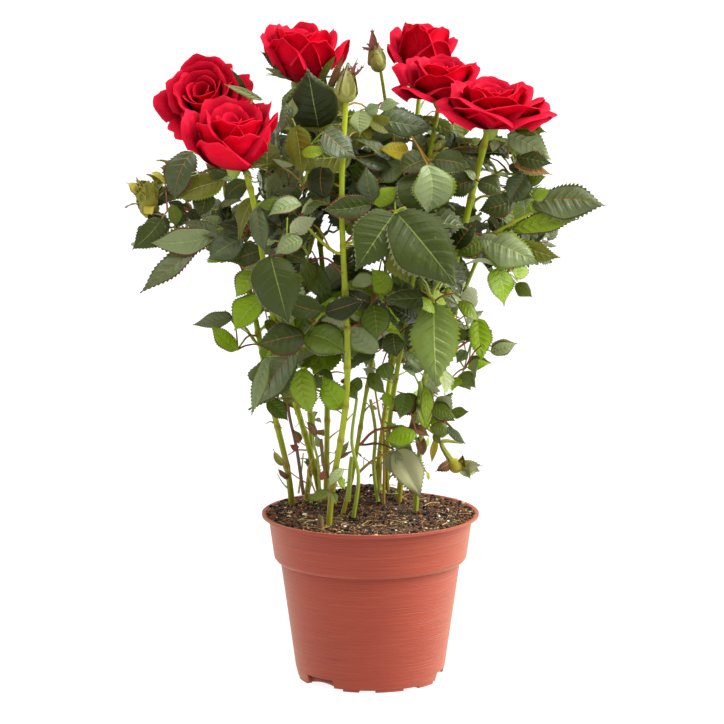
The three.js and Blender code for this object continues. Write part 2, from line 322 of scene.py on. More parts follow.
def petal_finish(name, deep, bright, lip):
    """Velvet petal: painted shade deep at its foot, inside the flower, bright higher up, and a painted pink
    highlight along its lip.
    """
    finish = Finish(name, bright, 0.6, {"Specular IOR Level": 0.06})
    vein = finish.noise(finish.place(), scale=260.0, detail=2.0)
    # Painted shade: the petal runs from the deep colour at its foot, inside the flower, to the bright colour
    # higher up.
    body = finish.mix(finish.mark("rise"), opaque(deep), finish.colour)
    shade_and_veins = finish.mix(vein.ramp(0.4, 0.75) * 0.25, body, opaque(deep))
    # Painted highlight: pinker along the rolled lip.
    finish.paint(finish.mix(finish.mark("lip") * 0.6, shade_and_veins, opaque(lip)))
    finish.relief(vein, depth=0.0002)
    return finish.material


def plain_finishes(colours, roughness, grain):
    """Plain colours with a fine grain, for what is too small or too many to be painted one by one."""
    made = []
    for name, code in colours.items():
        finish = Finish(name, code, roughness)
        finish.relief(finish.noise(finish.place(), grain, detail=2.0), depth=0.00012)
        made.append(finish.material)
    return made


def leaf_finishes(colours):
    """Plain glossy leaf colours whose side veins stand out in relief."""
    made = []
    for name, code in colours.items():
        shiny = name in SHINY_LEAVES
        constants = {"Specular IOR Level": 0.38 if shiny else 0.22}
        finish = Finish(name, code, 0.32 if shiny else 0.38, constants)
        ribs = finish.mark("vein_along") * SIDE_VEINS - finish.mark("vein_across") * VEIN_SLANT
        inside = finish.mark("vein_across").ramp(1.1, 0.0)
        veins = ribs.wave().ramp(-0.3, 1.0) * inside * finish.mark("vein_depth")
        grain = finish.noise(finish.place(), scale=380, detail=2.0)
        finish.relief(veins * 1.7 + grain * 1.9, depth=0.00018)
        made.append(finish.material)
    return made


# ---- pieces ----
def select_only(piece):
    bpy.ops.object.select_all(action="DESELECT")
    piece.select_set(True)
    bpy.context.view_layer.objects.active = piece


def coat(piece, materials):
    """Gives a piece its materials, in the order that its faces number them."""
    for material in materials:
        piece.data.materials.append(material)


def settle(piece, replaced=(), crease=42):
    """Shades a coated piece, and hands it to the frame."""
    select_only(piece)
    bpy.ops.object.shade_smooth_by_angle(angle=radians(crease))
    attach(piece, "root")
    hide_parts(*replaced)


class Stock:
    """Points and faces gathered for one joined piece, in millimetres."""

    def __init__(self):
        self.points = []
        self.faces = []
        self.finishes = []
        self.marks = {}
        self.count = 0

    def add(self, points, faces, finishes=0, **marks):
        """Faces name points of this lot; finishes is one material number, or one for each face."""
        start = self.count
        self.points.append(np.asarray(points, float))
        self.faces.extend([tuple([start + point for point in face]) for face in faces])
        self.finishes.extend([finishes] * len(faces) if isinstance(finishes, int) else finishes)
        self.count += len(points)
        for name, values in marks.items():
            self.marks.setdefault(name, []).append(np.broadcast_to(values, (len(points),)))

    def stem(self, line, foot, tip, sides, finish):
        """Adds a tube whose radius runs evenly from one end of a line to the other."""
        points, faces, _ = tube(line, np.linspace(foot, tip, len(line)), sides)
        self.add(points, faces, finish)

    def piece(self, name, materials, slot, replaced=(), crease=42):
        """Makes one piece of all that was added; a mark is kept if every point has it."""
        mesh = bpy.data.meshes.new(name)
        mesh.from_pydata((np.vstack(self.points) * MM).tolist(), [], self.faces)
        made = bpy.data.objects.new(name, mesh)
        bpy.context.scene.collection.objects.link(made)
        coat(made, materials)
        mesh.polygons.foreach_set("material_index", self.finishes)
        for mark, values in self.marks.items():
            if sum(len(lot) for lot in values) == self.count:
                mesh.attributes.new(mark, "FLOAT", "POINT").data.foreach_set("value", np.concatenate(values))
        settle(made, replaced, crease)


ODD_WAY = [0.3, 0.9, 0.2]  # a direction that no limb starts along


def tube(line, radii, sides, bulge=None):
    """A closed tube along a line: its points, its faces and how far along each point is.

    bulge(run, angles) scales the radius.
    """
    line = np.asarray(line, float)
    count = len(line)
    tangents = np.gradient(line, axis=0)
    side = np.cross(tangents[0], ODD_WAY)
    run = run_along(line)
    angles = np.linspace(0, FULL_TURN, sides, endpoint=False)
    rings = []
    for step in range(count):
        tangent = unit(tangents[step])
        side = unit(side - tangent * np.dot(side, tangent))
        front = np.cross(tangent, side)
        reach = radii[step] * (np.ones(sides) if bulge is None else bulge(run[step], angles))
        ring = line[step] + np.outer(np.cos(angles) * reach, side)
        rings.append(ring + np.outer(np.sin(angles) * reach, front))
    points = np.vstack(rings + [line[:1], line[-1:]])
    return points, lathe_faces(count, sides), np.append(np.repeat(run, sides), [run[0], run[-1]])


def lathe_faces(rings, sides):
    """Faces of a closed body of rings, whose two end points come after the rings."""
    faces = []
    for ring in range(rings - 1):
        for turn in range(sides):
            here = ring * sides + turn
            beside = ring * sides + (turn + 1) % sides
            faces.append((here, beside, beside + sides, here + sides))
    last = (rings - 1) * sides
    for turn in range(sides):
        following = (turn + 1) % sides
        faces.append((rings * sides, following, turn))
        faces.append((rings * sides + 1, last + turn, last + following))
    return faces


def urn(foot, facing, profile, sides=14):
    """A closed turned body: the profile holds a radius and a height along the axis for each ring."""
    first, second, axis = flower_frame(facing)
    angles = np.linspace(0, FULL_TURN, sides, endpoint=False)
    ring = np.outer(np.cos(angles), first) + np.outer(np.sin(angles), second)
    rings = [foot + axis * height + ring * radius for radius, height in profile]
    ends = [[foot + axis * profile[end][1]] for end in (0, -1)]
    return np.vstack(rings + ends), lathe_faces(len(profile), sides)


# ---- limbs, read from the frame ----
SLICES = 16  # cuts across a limb's solid
SLICE_INSET = 1.0  # from each of its ends to the first cut
BARE_TIP = 4  # length of a limb's tip that bears no leaf


class Limb:
    """A cane or shoot: its line, its radii, and the nodes that leaves spring from."""

    def __init__(self, line, radii):
        self.line = line
        self.radii = radii
        self.nodes = []

    def flip(self):
        self.line = self.line[::-1]
        self.radii = self.radii[::-1]

    def set_nodes(self, spacing, start, rng):
        """Nodes up the limb at about the given spacing."""
        run = run_along(self.line)
        place = start
        while place < run[-1] - BARE_TIP:
            self.nodes.append(int(np.argmin(abs(run - place))))
            place += spacing * rng.uniform(0.8, 1.25)

    def node_points(self):
        return [self.line[node] for node in self.nodes]


def node_triangles(name):
    """The triangles of a node of the frame, in mm."""
    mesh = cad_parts[name].data
    places = np.empty(len(mesh.vertices) * 3)
    mesh.vertices.foreach_get("co", places)
    corners = np.empty(len(mesh.loops), int)
    mesh.loops.foreach_get("vertex_index", corners)
    return (places.reshape(-1, 3)[corners] / MM).reshape(-1, 3, 3)


def read_limb(name, step=2.0):
    """Slices a limb's solid across its longest way: the slices' middles are its line."""
    triangles = node_triangles(name)
    low, high = triangles.min((0, 1)), triangles.max((0, 1))
    way = int(np.argmax(high - low))
    starts = triangles.reshape(-1, 3)
    ends = np.roll(triangles, -1, axis=1).reshape(-1, 3)
    middles, radii = [], []
    for level in np.linspace(low[way] + SLICE_INSET, high[way] - SLICE_INSET, SLICES):
        above, below = starts[:, way] - level, ends[:, way] - level
        crossing = above * below < 0
        share = (above[crossing] / (above[crossing] - below[crossing]))[:, None]
        cut = starts[crossing] + (ends[crossing] - starts[crossing]) * share
        middle = (cut.min(0) + cut.max(0)) / 2
        middles.append(middle)
        radii.append(np.linalg.norm(cut - middle, axis=1).min())
    middles = np.array(middles)
    middles[1:-1] = (middles[:-2] + 2 * middles[1:-1] + middles[2:]) / 4
    line = through(middles, max(6, int(run_along(middles)[-1] / step)))
    taper = np.polyfit(np.linspace(0, 1, len(radii)), radii, 1)
    return Limb(line, np.polyval(taper, np.linspace(0, 1, len(line))))


def stands_on_head(limb):
    return limb.line[0][2] > limb.line[-1][2]


def rooted_in(limb, bearer):
    """The limb with its foot moved into the middle of the one that bears it."""
    axis = bearer.line
    gaps = [np.linalg.norm(axis - limb.line[end], axis=1).min() for end in (0, -1)]
    if gaps[1] < gaps[0]:
        limb.flip()
    root = axis[np.linalg.norm(axis - limb.line[0], axis=1).argmin()]
    line = through(np.vstack([root, limb.line[2:-2:4], limb.line[-1]]), len(limb.line) + 2)
    return Limb(line, np.linspace(limb.radii[0], limb.radii[-1], len(line)))


def read_limbs():
    """Every limb by name, each shoot starting inside the cane that bears it."""
    rng = random.Random(11)
    limbs = {}
    for name in CANES:
        limb = read_limb(name)
        if stands_on_head(limb):
            limb.flip()
        limb.set_nodes(27, 34, rng)
        limbs[name] = limb
    for name, bearer in {**SHOOTS, **OLD_SHOOTS}.items():
        limb = read_limb(name, 1.5)
        if bearer:
            limb = rooted_in(limb, limbs[bearer])
        elif stands_on_head(limb):
            limb.flip()
        limb.set_nodes(13, 9, rng)
        limbs[name] = limb
    return limbs


# Bark: shallow ridges twist up a limb, and it thickens at each node, most on the side of its bud. The brown
# ring lies just past the node.
RIDGES, RIDGE_SWELL, RIDGE_TWIST = 3, 0.035, 0.03
WAVE_SWELL, WAVE_RATE = 0.03, 0.16
NODE_LENGTH, NODE_SWELL, BUD_SWELL = 2.2, 0.16, 0.3
RING_OFFSET, RING_LENGTH = 0.8, 1.3
OLD_FROM, OLD_TO = 90, 10  # distances up a limb between which its bark turns old towards the foot
LEAST_AGE = 0.08


def bark_relief(limb, rng):
    """Two functions: how the bark bulges round the limb, and how strong the brown ring of a node is."""
    run = run_along(limb.line)
    collars = [(run[node], number * GOLDEN_ANGLE) for number, node in enumerate(limb.nodes)]
    phase = rng.uniform(0, 6)

    def bulge(place, angles):
        ridges = RIDGE_SWELL * np.sin(RIDGES * angles + place * RIDGE_TWIST + phase)
        scale = 1 + ridges + WAVE_SWELL * sin(place * WAVE_RATE + phase)
        for middle, side in collars:
            near = exp(-((place - middle) / NODE_LENGTH) ** 2)
            scale = scale + near * (NODE_SWELL + BUD_SWELL * np.maximum(0, np.cos(angles - side)) ** 2)
        return scale

    def ring(places):
        marks = np.zeros(len(places))
        for middle, _ in collars:
            marks = np.maximum(marks, np.exp(-((places - middle - RING_OFFSET) / RING_LENGTH) ** 2))
        return marks

    return bulge, ring


def limb_stock(limb, sides, foot_age, prickles, rng):
    """A limb's mesh with its age and node rings marked, and its prickles."""
    bulge, ring = bark_relief(limb, rng)
    line = through(limb.line, len(limb.line) * 2)
    radii = np.interp(np.linspace(0, 1, len(line)), np.linspace(0, 1, len(limb.radii)), limb.radii)
    points, faces, run = tube(line, radii, sides, bulge)
    stock = Stock()
    age = foot_age * (1 - smooth_step(OLD_TO, OLD_FROM, run)) + LEAST_AGE
    stock.add(points, faces, 0, age=age, ring=ring(run))
    for _ in range(prickles):
        add_prickle(stock, line, radii, rng.randrange(len(line) // 5, len(line) - 6), rng)
    return stock


def add_prickle(stock, line, radii, step, rng):
    """A small broad-based thorn whose point hooks down the cane."""
    tangent = unit(line[step + 1] - line[step - 1])
    out = unit(turned(np.cross(tangent, [0.2, 1, 0.1]), tangent, rng.uniform(0, ANY_TURN)))
    length = rng.uniform(1.2, 2.2)
    foot = line[step] + out * radii[step] * 0.8
    bend = [foot, foot + out * length * 0.55, foot + out * length - tangent * length * 0.45]
    points, faces, _ = tube(through(bend, 4), [0.75, 0.5, 0.26, 0.05], 5)
    stock.add(points, faces, 0, age=0.5, ring=0.8)


# ---- leaflets ----
MARGIN_STRIPS = 5  # a side with more strips than this has a margin of its own colour
TOOTH_WIDTH = 0.11  # deepest tooth, as a share of the blade's width
TOOTH_LEAN = 0.82  # where a tooth's point is between its own foot and the next one's
EDGE_RIPPLE = 0.05
HALVES_DIFFER = 0.13
PLEATS = 5
PLEAT_SLANT = 0.9
SKIN_MIDDLE = 0.42  # how far the under side is below the upper one, more at the edge by SKIN_EDGE
SKIN_EDGE = 0.05
RIB_BOW = 0.05
STRAIGHT = 1e-3  # least droop of a rib, in radians


class Blade:
    """The pattern of a toothed blade: a closed skin whose two sides share the points of its edge."""

    def __init__(self, sections, upper, lower):
        self.sections = sections
        self.along = np.linspace(0, 1, sections + 1)
        self.upper = np.array(upper)
        self.lower = np.array(lower)
        rows = sections + 1
        top = np.arange(rows * len(upper)).reshape(rows, -1)
        under = np.empty((rows, len(lower)), int)
        under[:, 0], under[:, -1] = top[:, 0], top[:, -1]
        under[:, 1:-1] = top.size + np.arange(rows * (len(lower) - 2)).reshape(rows, -1)
        teeth = top.size + rows * (len(lower) - 2) + np.arange(sections * 2).reshape(sections, 2)
        self.faces, self.parts = [], []
        for row in range(sections):
            self._strips(top, teeth[row], row, False)
            self._strips(under, teeth[row], row, True)
        self._end(top[0], under[0])
        self._end(under[-1], top[-1])
        rises = [np.repeat(self.along, len(upper)), np.repeat(self.along, len(lower) - 2)]
        spreads = [np.tile(abs(self.upper), rows), np.tile(abs(self.lower[1:-1]), rows)]
        self.marks = {
            "vein_along": np.concatenate(rises + [np.repeat(self.along[:-1] + 0.5 / sections, 2)]),
            "vein_across": np.concatenate(spreads + [np.ones(2 * sections)]),
        }

    def _strips(self, grid, teeth, row, under):
        """One row of faces of a side, with the teeth in its two edge faces."""
        strips = grid.shape[1] - 1
        for column in range(strips):
            near, far = grid[row], grid[row + 1]
            face = [near[column], near[column + 1], far[column + 1], far[column]]
            if column == strips - 1:
                face.insert(2, teeth[1])
            if column == 0:
                face.append(teeth[0])
            self.faces.append(tuple(int(point) for point in (face[::-1] if under else face)))
            self.parts.append("under" if under else self._part(column, strips))

    def _part(self, column, strips):
        if 2 * column + 1 == strips:
            return "rib"
        return "margin" if strips > MARGIN_STRIPS and column in (0, strips - 1) else "upper"

    def _end(self, first, second):
        """Closes the slit between the two sides at the foot or the tip."""
        self.faces.append(tuple(int(point) for point in [*first[::-1], *second[1:-1]]))
        self.parts.append("under")

    def points(self, length, width, form):
        """The blade's points, its foot at the origin, its tip along Y and its face along Z."""
        top = self._sheet(self.upper, length, width, form, 0.0)
        low = self._sheet(self.lower, length, width, form, 1.0)[:, 1:-1]
        tooth = form["tooth"] * min(length / self.sections, width * TOOTH_WIDTH)
        reach = tooth * np.sin(pi * (self.along[:-1] * 0.86 + 0.1))
        teeth = []
        for side in (0, -1):
            edge = top[:, side]
            outward = edge - top[:, len(self.upper) // 2]
            outward = outward / np.maximum(np.linalg.norm(outward, axis=1, keepdims=True), 1e-6)
            forward = edge[1:] - edge[:-1]
            teeth.append(edge[:-1] + forward * TOOTH_LEAN + outward[:-1] * reach[:, None])
        lots = (top, low, np.stack(teeth, axis=1))
        return np.vstack([lot.reshape(-1, 3) for lot in lots])

    def _sheet(self, across, length, width, form, depth):
        """One side's grid: cupped, waved and pleated, then bent along its drooping and twisting rib."""
        v = self.along[:, None]
        u = across[None, :]
        ripple = 1 + EDGE_RIPPLE * np.sin(v * 13 + form["phase"] * 5 + 2 * np.sign(u))
        uneven = 1 + HALVES_DIFFER * sin(form["phase"] * 7) * np.sign(u)
        x = width / 2 * blade_outline(self.along, form)[:, None] * u * ripple * uneven
        rise = form["fold"] * abs(x) * (1 - 0.35 * abs(u))
        rise = rise + form["wave"] * width * np.sin(v * 9 + form["phase"] + 1.5 * np.sign(u)) * u ** 2
        rise = rise - form["curl"] * width * abs(u) ** 3 * np.sin(pi * v)
        ribs = np.cos(FULL_TURN * (PLEATS * v - PLEAT_SLANT * abs(u))) * abs(u) * (1 - 0.75 * abs(u))
        rise = rise + form["pleat"] * width * ribs * np.sin(pi * v)
        rise = rise - depth * SKIN_MIDDLE * (1 - abs(u)) - depth * SKIN_EDGE
        droop = form["droop"] if abs(form["droop"]) > STRAIGHT else STRAIGHT
        angle = droop * v
        twist = form["twist"] * v
        bow = RIB_BOW * length * sin(form["phase"] * 11) * np.sin(pi * v)
        sideways = bow + x * np.cos(twist) - rise * np.sin(twist)
        lift = x * np.sin(twist) + rise * np.cos(twist)
        forward = length * np.sin(angle) / droop + lift * np.sin(angle)
        height = length * (np.cos(angle) - 1) / droop + lift * np.cos(angle)
        return np.stack(np.broadcast_arrays(sideways, forward, height), axis=-1)


def blade_outline(along, form):
    """Half width of a blade along its length, as a share of its widest: round foot, drawn-out tip."""
    swell = np.maximum(np.sin(pi * along ** form["belly"]), 0)
    return np.maximum(swell ** (0.62 + 0.85 * along), 0.015)


FINE_BLADE = Blade(18, [-1, -0.92, -0.6, -0.3, -0.024, 0.024, 0.3, 0.6, 0.92, 1], [-1, -0.5, 0, 0.5, 1])
PLAIN_BLADE = Blade(9, [-1, -0.5, -0.03, 0.03, 0.5, 1], [-1, 0, 1])
SEPAL_BLADE = Blade(9, [-1, -0.15, 0.15, 1], [-1, 0, 1])
VEINED_LENGTH = 27.0  # a blade this long has side veins of the usual depth
DEEPEST_VEINS = 1.9


def leaf_form(rng, fold=0.42, droop=0.75):
    return {
        "belly": rng.uniform(0.74, 0.92),
        "fold": fold * rng.uniform(0.2, 1.5),
        "droop": droop * rng.uniform(0.1, 1.6),
        "twist": rng.uniform(-0.55, 0.55),
        "wave": rng.uniform(0.015, 0.055),
        "curl": rng.uniform(0.0, 0.13),
        "pleat": rng.uniform(0.014, 0.026),
        "tooth": rng.uniform(0.7, 1.05),
        "phase": rng.uniform(0, 6),
    }


def lay_blade(stock, blade, foot, tip, face, width, form, parts):
    """Adds a blade from foot to tip with its upper side turned to face."""
    span = tip - foot
    length = float(np.linalg.norm(span))
    along = span / length
    side = unit(np.cross(along, face))
    normal = np.cross(side, along)
    droop = max(form["droop"], STRAIGHT)
    chord = 2 * sin(droop / 2) / droop
    heading = turned(along, side, droop / 2)
    normal = turned(normal, side, droop / 2)
    points = blade.points(length / chord, width, form)
    placed = foot + points[:, :1] * side + points[:, 1:2] * heading + points[:, 2:] * normal
    depth = min(DEEPEST_VEINS, length / VEINED_LENGTH)
    finishes = [parts[part] for part in blade.parts]
    stock.add(placed, blade.faces, finishes, vein_depth=depth, **blade.marks)


# ---- foliage colours, dealt out by spray ----
# The slate, grey and sage greens are greyed in part to paint the grey sheen of the upper leaves. This painted
# sheen sits on top of the leaves' own tone and on top of the real gloss that SHINY_LEAVES gives them.
LEAF_COLOURS = {
    "leaf_deep": "2a310f", "leaf_dark": "3c4717", "leaf_slate": "48542e", "leaf_grey": "5c673c",
    "leaf_mid": "526418", "leaf_olive": "66681a", "leaf_fresh": "80981e", "leaf_bright": "7c9a08",
    "leaf_sage": "7c8a58", "leaf_pale": "94a066", "leaf_gloss": "64762c", "leaf_amber": "a08e12",
    "leaf_russet": "8a6238",
    "under_green": "878f5c", "under_grey": "92976e",
    "rib_green": "76843a", "rib_amber": "96622c", "rib_red": "8e4c3a",
    "margin_green": "3a4212", "margin_red": "54301c", "rib_pale": "9aa856", "margin_light": "66781c",
}
LEAF_NUMBER = {name: number for number, name in enumerate(LEAF_COLOURS)}
STALK_COLOURS = {
    "stalk_red": "8a3322", "stalk_amber": "9a7424", "stalk_green": "8f9f24", "stalk_brown": "64421f",
    "stalk_straw": "a8a044",
}
STALKS = RED_STALK, AMBER_STALK, GREEN_STALK, BROWN_STALK, STRAW_STALK = range(5)


def dealt(**shares):
    """A list that holds each name as often as its share."""
    return [name for name, share in shares.items() for _ in range(share)]


SHADES_HIGH = dealt(dark=7, deep=4, slate=3, mid=4, grey=2, olive=3, sage=1)
SHADES_LOW = dealt(mid=3, bright=5, fresh=8, olive=2, sage=3, pale=4)
DULL_SHADES = ("dark", "deep", "slate", "grey", "mid")


def leaf_parts(shade, rng):
    """The material number of each part of a leaflet of one shade."""
    dull = shade in DULL_SHADES
    ribs = ["rib_green", "rib_amber", "rib_amber"] if dull else ["rib_pale", "rib_green", "rib_pale"]
    rib = rng.choice(ribs)
    plain_margin = "margin_green" if dull else "margin_light"
    return {
        "upper": LEAF_NUMBER["leaf_" + shade],
        "under": LEAF_NUMBER[rng.choice(["under_green", "under_grey"])],
        "rib": LEAF_NUMBER[rib],
        "margin": LEAF_NUMBER[rng.choice([plain_margin, plain_margin, "margin_red"])],
    }


# Sprays listed where they show most: the limb that bears it, how far forward of the pot's axis it is,
# and each leaflet's foot (x, z), heading in degrees clockwise from straight up as seen from the front,
# length, width and shade.
FRONT_SPRAYS = [
    ("shoot_left", 38, (-121, 282, 225, 24, 15, "dark"), (-115, 290, 170, 13, 8, "mid")),
    ("shoot_left", 38, (-91, 272, 265, 37, 16, "sage"), (-99, 269, 230, 45, 13, "grey"),
     (-88, 272, 290, 23, 9, "grey")),
    ("cane_left", 28, (-104, 320, 200, 31, 17, "slate"), (-77, 304, 285, 20, 7, "sage")),
    ("cane_left", 32, (-86, 303, 250, 30, 16, "olive"), (-96, 299, 190, 17, 12, "dark"),
     (-72, 303, 230, 17, 11, "dark"), (-83, 308, 295, 14, 10, "dark")),
    ("shoot_left", 26, (-109, 286, 200, 12, 8, "dark"), (-106, 285, 135, 10, 7, "dark"),
     (-109, 287, 290, 10, 6, "dark"), (-87, 273, 305, 15, 10, "pale")),
    ("cane_left", 47, (-74, 272, 240, 24, 17, "slate"), (-63, 265, 250, 20, 14, "dark"),
     (-74, 276, 285, 15, 10, "deep"), (-67, 296, 200, 25, 12, "olive")),
    ("cane_cup", 70, (-65, 293, 170, 27, 10, "slate"), (-50, 295, 265, 15, 8, "mid"),
     (-40, 295, 250, 20, 11, "sage")),
    ("cane_left", 43, (-66, 255, 215, 22, 12, "fresh"), (-63, 258, 245, 12, 7, "pale")),
    ("cane_cup", 74, (-57, 265, 165, 39, 28, "dark"), (-39, 275, 240, 18, 12, "sage")),
    ("cane_left", 46, (-63, 237, 220, 25, 16, "bright"), (-60, 224, 155, 10, 7, "mid")),
    ("cane_left", 22, (-81, 222, 258, 24, 9, "grey")),
    ("cane_left", 28, (-78, 203, 315, 22, 10, "bright")),
    ("cane_cup", 62, (-38, 218, 260, 28, 20, "dark"), (-36, 218, 115, 25, 23, "mid"),
     (-28, 231, 290, 25, 14, "dark"), (-26, 231, 70, 24, 13, "deep")),
    ("cane_cup", 50, (-44, 207, 215, 45, 24, "grey"), (-60, 203, 195, 35, 8, "sage"),
     (-40, 196, 168, 28, 16, "fresh")),
    ("cane_crown", 1, (-61, 169, 135, 17, 10, "mid"), (-48, 168, 220, 9, 6, "olive")),
    ("cane_front", 45, (-16, 171, 330, 24, 16, "bright"), (-14, 186, 145, 11, 7, "mid")),
    ("cane_crown", 38, (-30, 335, 350, 35, 30, "deep"), (-34, 340, 95, 20, 7, "slate")),
    ("cane_crown", 50, (-43, 337, 172, 28, 16, "olive"), (-48, 341, 15, 13, 7, "sage"),
     (-47, 350, 195, 17, 7, "slate")),
    ("cane_front", 62, (-27, 335, 130, 24, 18, "slate"), (-39, 322, 80, 16, 8, "fresh")),
    ("cane_front", 54, (-28, 314, 175, 19, 18, "deep"), (-51, 288, 335, 15, 8, "dark"),
     (-41, 296, 300, 13, 11, "slate"), (-34, 310, 350, 16, 8, "olive")),
    ("cane_front", 47, (-6, 346, 180, 14, 14, "pale"), (-3, 345, 60, 9, 7, "sage"),
     (5, 347, 75, 12, 7, "sage")),
    ("cane_slim", 34, (4, 340, 100, 34, 17, "slate"), (0, 339, 120, 15, 10, "olive")),
    ("cane_slim", 38, (22, 320, 280, 17, 13, "amber"), (19, 316, 230, 21, 12, "sage"),
     (12, 312, 285, 23, 9, "slate"), (11, 316, 300, 25, 8, "grey")),
    ("cane_front", 66, (1, 295, 350, 22, 12, "slate"), (0, 294, 265, 28, 13, "dark"),
     (2, 294, 55, 18, 11, "fresh"), (-11, 294, 245, 11, 8, "mid")),
    ("cane_slim", 78, (32, 318, 180, 28, 24, "sage")),
    ("cane_slim", 62, (32, 319, 245, 19, 14, "dark"), (36, 319, 100, 21, 15, "dark"),
     (33, 314, 180, 31, 30, "dark")),
    ("cane_slim", 86, (13, 291, 215, 38, 26, "dark"), (15, 291, 140, 53, 33, "dark")),
    ("cane_right", 50, (60, 306, 245, 21, 14, "dark"), (62, 305, 115, 15, 13, "dark"),
     (60, 306, 310, 9, 6, "sage")),
    ("cane_slim", 52, (2, 234, 175, 20, 20, "mid"), (0, 235, 300, 19, 12, "deep"),
     (12, 242, 320, 18, 13, "fresh"), (14, 256, 160, 13, 10, "mid"), (-11, 246, 80, 16, 9, "pale")),
    ("cane_right", 74, (36, 238, 178, 47, 27, "gloss")),
    ("cane_right", 60, (35, 239, 270, 30, 11, "dark"), (26, 226, 300, 19, 11, "deep"),
     (37, 237, 100, 14, 8, "grey")),
    ("cane_middle", 34, (13, 214, 170, 14, 13, "dark"), (4, 203, 315, 25, 14, "sage"),
     (7, 196, 155, 10, 11, "mid"), (23, 219, 170, 16, 9, "dark")),
    ("shoot_right", 30, (94, 290, 90, 42, 22, "grey"), (92, 289, 115, 12, 8, "fresh")),
    ("shoot_right", 32, (82, 275, 80, 39, 12, "fresh")),
    ("cane_right", 41, (67, 269, 112, 32, 22, "sage"), (84, 269, 108, 27, 11, "olive"),
     (65, 270, 236, 18, 14, "mid"), (63, 270, 95, 14, 11, "sage")),
    ("shoot_right", 30, (74, 252, 170, 22, 18, "bright"), (85, 243, 130, 12, 8, "mid")),
    ("cane_right", 37, (79, 331, 120, 29, 16, "sage"), (83, 334, 95, 19, 11, "mid"),
     (83, 314, 105, 23, 9, "russet"), (84, 318, 100, 21, 10, "dark"), (73, 328, 200, 8, 6, "sage")),
    ("cane_right", 34, (90, 307, 210, 19, 15, "slate"), (83, 292, 255, 21, 14, "dark"),
     (89, 303, 75, 13, 9, "mid"), (94, 294, 65, 11, 8, "fresh"), (80, 312, 100, 13, 8, "slate")),
    ("cane_back_right", 14, (52, 230, 135, 17, 9, "fresh"), (63, 220, 175, 25, 13, "bright"),
     (58, 191, 75, 13, 9, "mid"), (71, 200, 70, 16, 8, "pale"), (55, 188, 160, 12, 12, "mid")),
    ("cane_back_right", 15, (55, 206, 340, 10, 8, "mid"), (55, 207, 40, 10, 7, "dark"),
     (56, 201, 215, 9, 8, "sage")),
    ("cane_right", 18, (30, 174, 175, 21, 10, "fresh"), (28, 173, 245, 18, 15, "mid"),
     (25, 188, 10, 16, 13, "sage"), (32, 184, 160, 14, 8, "sage")),
    ("cane_right", 9, (36, 167, 123, 17, 11, "mid"), (34, 160, 110, 12, 9, "fresh"),
     (37, 151, 95, 11, 8, "mid")),
    ("cane_middle", 14, (12, 144, 57, 17, 14, "bright")),
    ("cane_front", 33, (-36, 253, 146, 27, 20, "mid"), (-39, 256, 160, 14, 10, "mid")),
    ("shoot_lower_right", 14, (71, 203, 83, 16, 6, "sage"), (66, 206, 40, 9, 6, "mid")),
    ("cane_back_right", 28, (54, 190, 140, 12, 8, "mid"), (57, 193, 78, 14, 6, "bright")),
    ("cane_right", 36, (32, 183, 181, 24, 8, "fresh"), (36, 171, 114, 15, 9, "mid")),
    ("cane_back_right", 27, (35, 157, 103, 13, 8, "mid"), (45, 157, 132, 15, 5, "slate"),
     (47, 164, 75, 11, 7, "mid")),
    ("cane_middle", 30, (27, 154, 256, 19, 12, "bright"), (20, 178, 191, 15, 12, "mid")),
    ("cane_right", 38, (20, 204, 143, 15, 8, "sage"), (19, 196, 133, 10, 6, "sage")),
    ("cane_slim", 30, (0, 190, 144, 15, 8, "mid"), (8, 178, 156, 10, 6, "bright"),
     (-6, 187, 220, 12, 7, "mid")),
    ("cane_right", 20, (39, 150, 190, 16, 4, "amber"), (37, 151, 140, 7, 4, "olive")),
    ("cane_front", 41, (-24, 122, 247, 14, 6, "mid"), (-23, 121, 158, 8, 5, "mid")),
    ("cane_front", 42, (-16, 135, 220, 13, 6, "pale"), (-18, 131, 160, 9, 4, "fresh")),
    ("cane_cup", 25, (-36, 183, 191, 14, 5, "fresh"), (-30, 190, 120, 10, 6, "mid")),
    ("cane_crown", 12, (-25, 355, 25, 23, 4, "russet"), (-24, 357, 44, 17, 3, "russet"),
     (-28, 358, 26, 19, 4, "olive"), (-26, 354, 350, 14, 4, "olive")),
    ("cane_cup", 50, (-62, 352, 293, 24, 4, "sage"), (-71, 356, 328, 17, 3, "dark"),
     (-68, 352, 303, 15, 3, "russet")),
    ("cane_crown", 10, (-44, 362, 306, 25, 7, "dark"), (-46, 361, 292, 17, 4, "sage")),
]

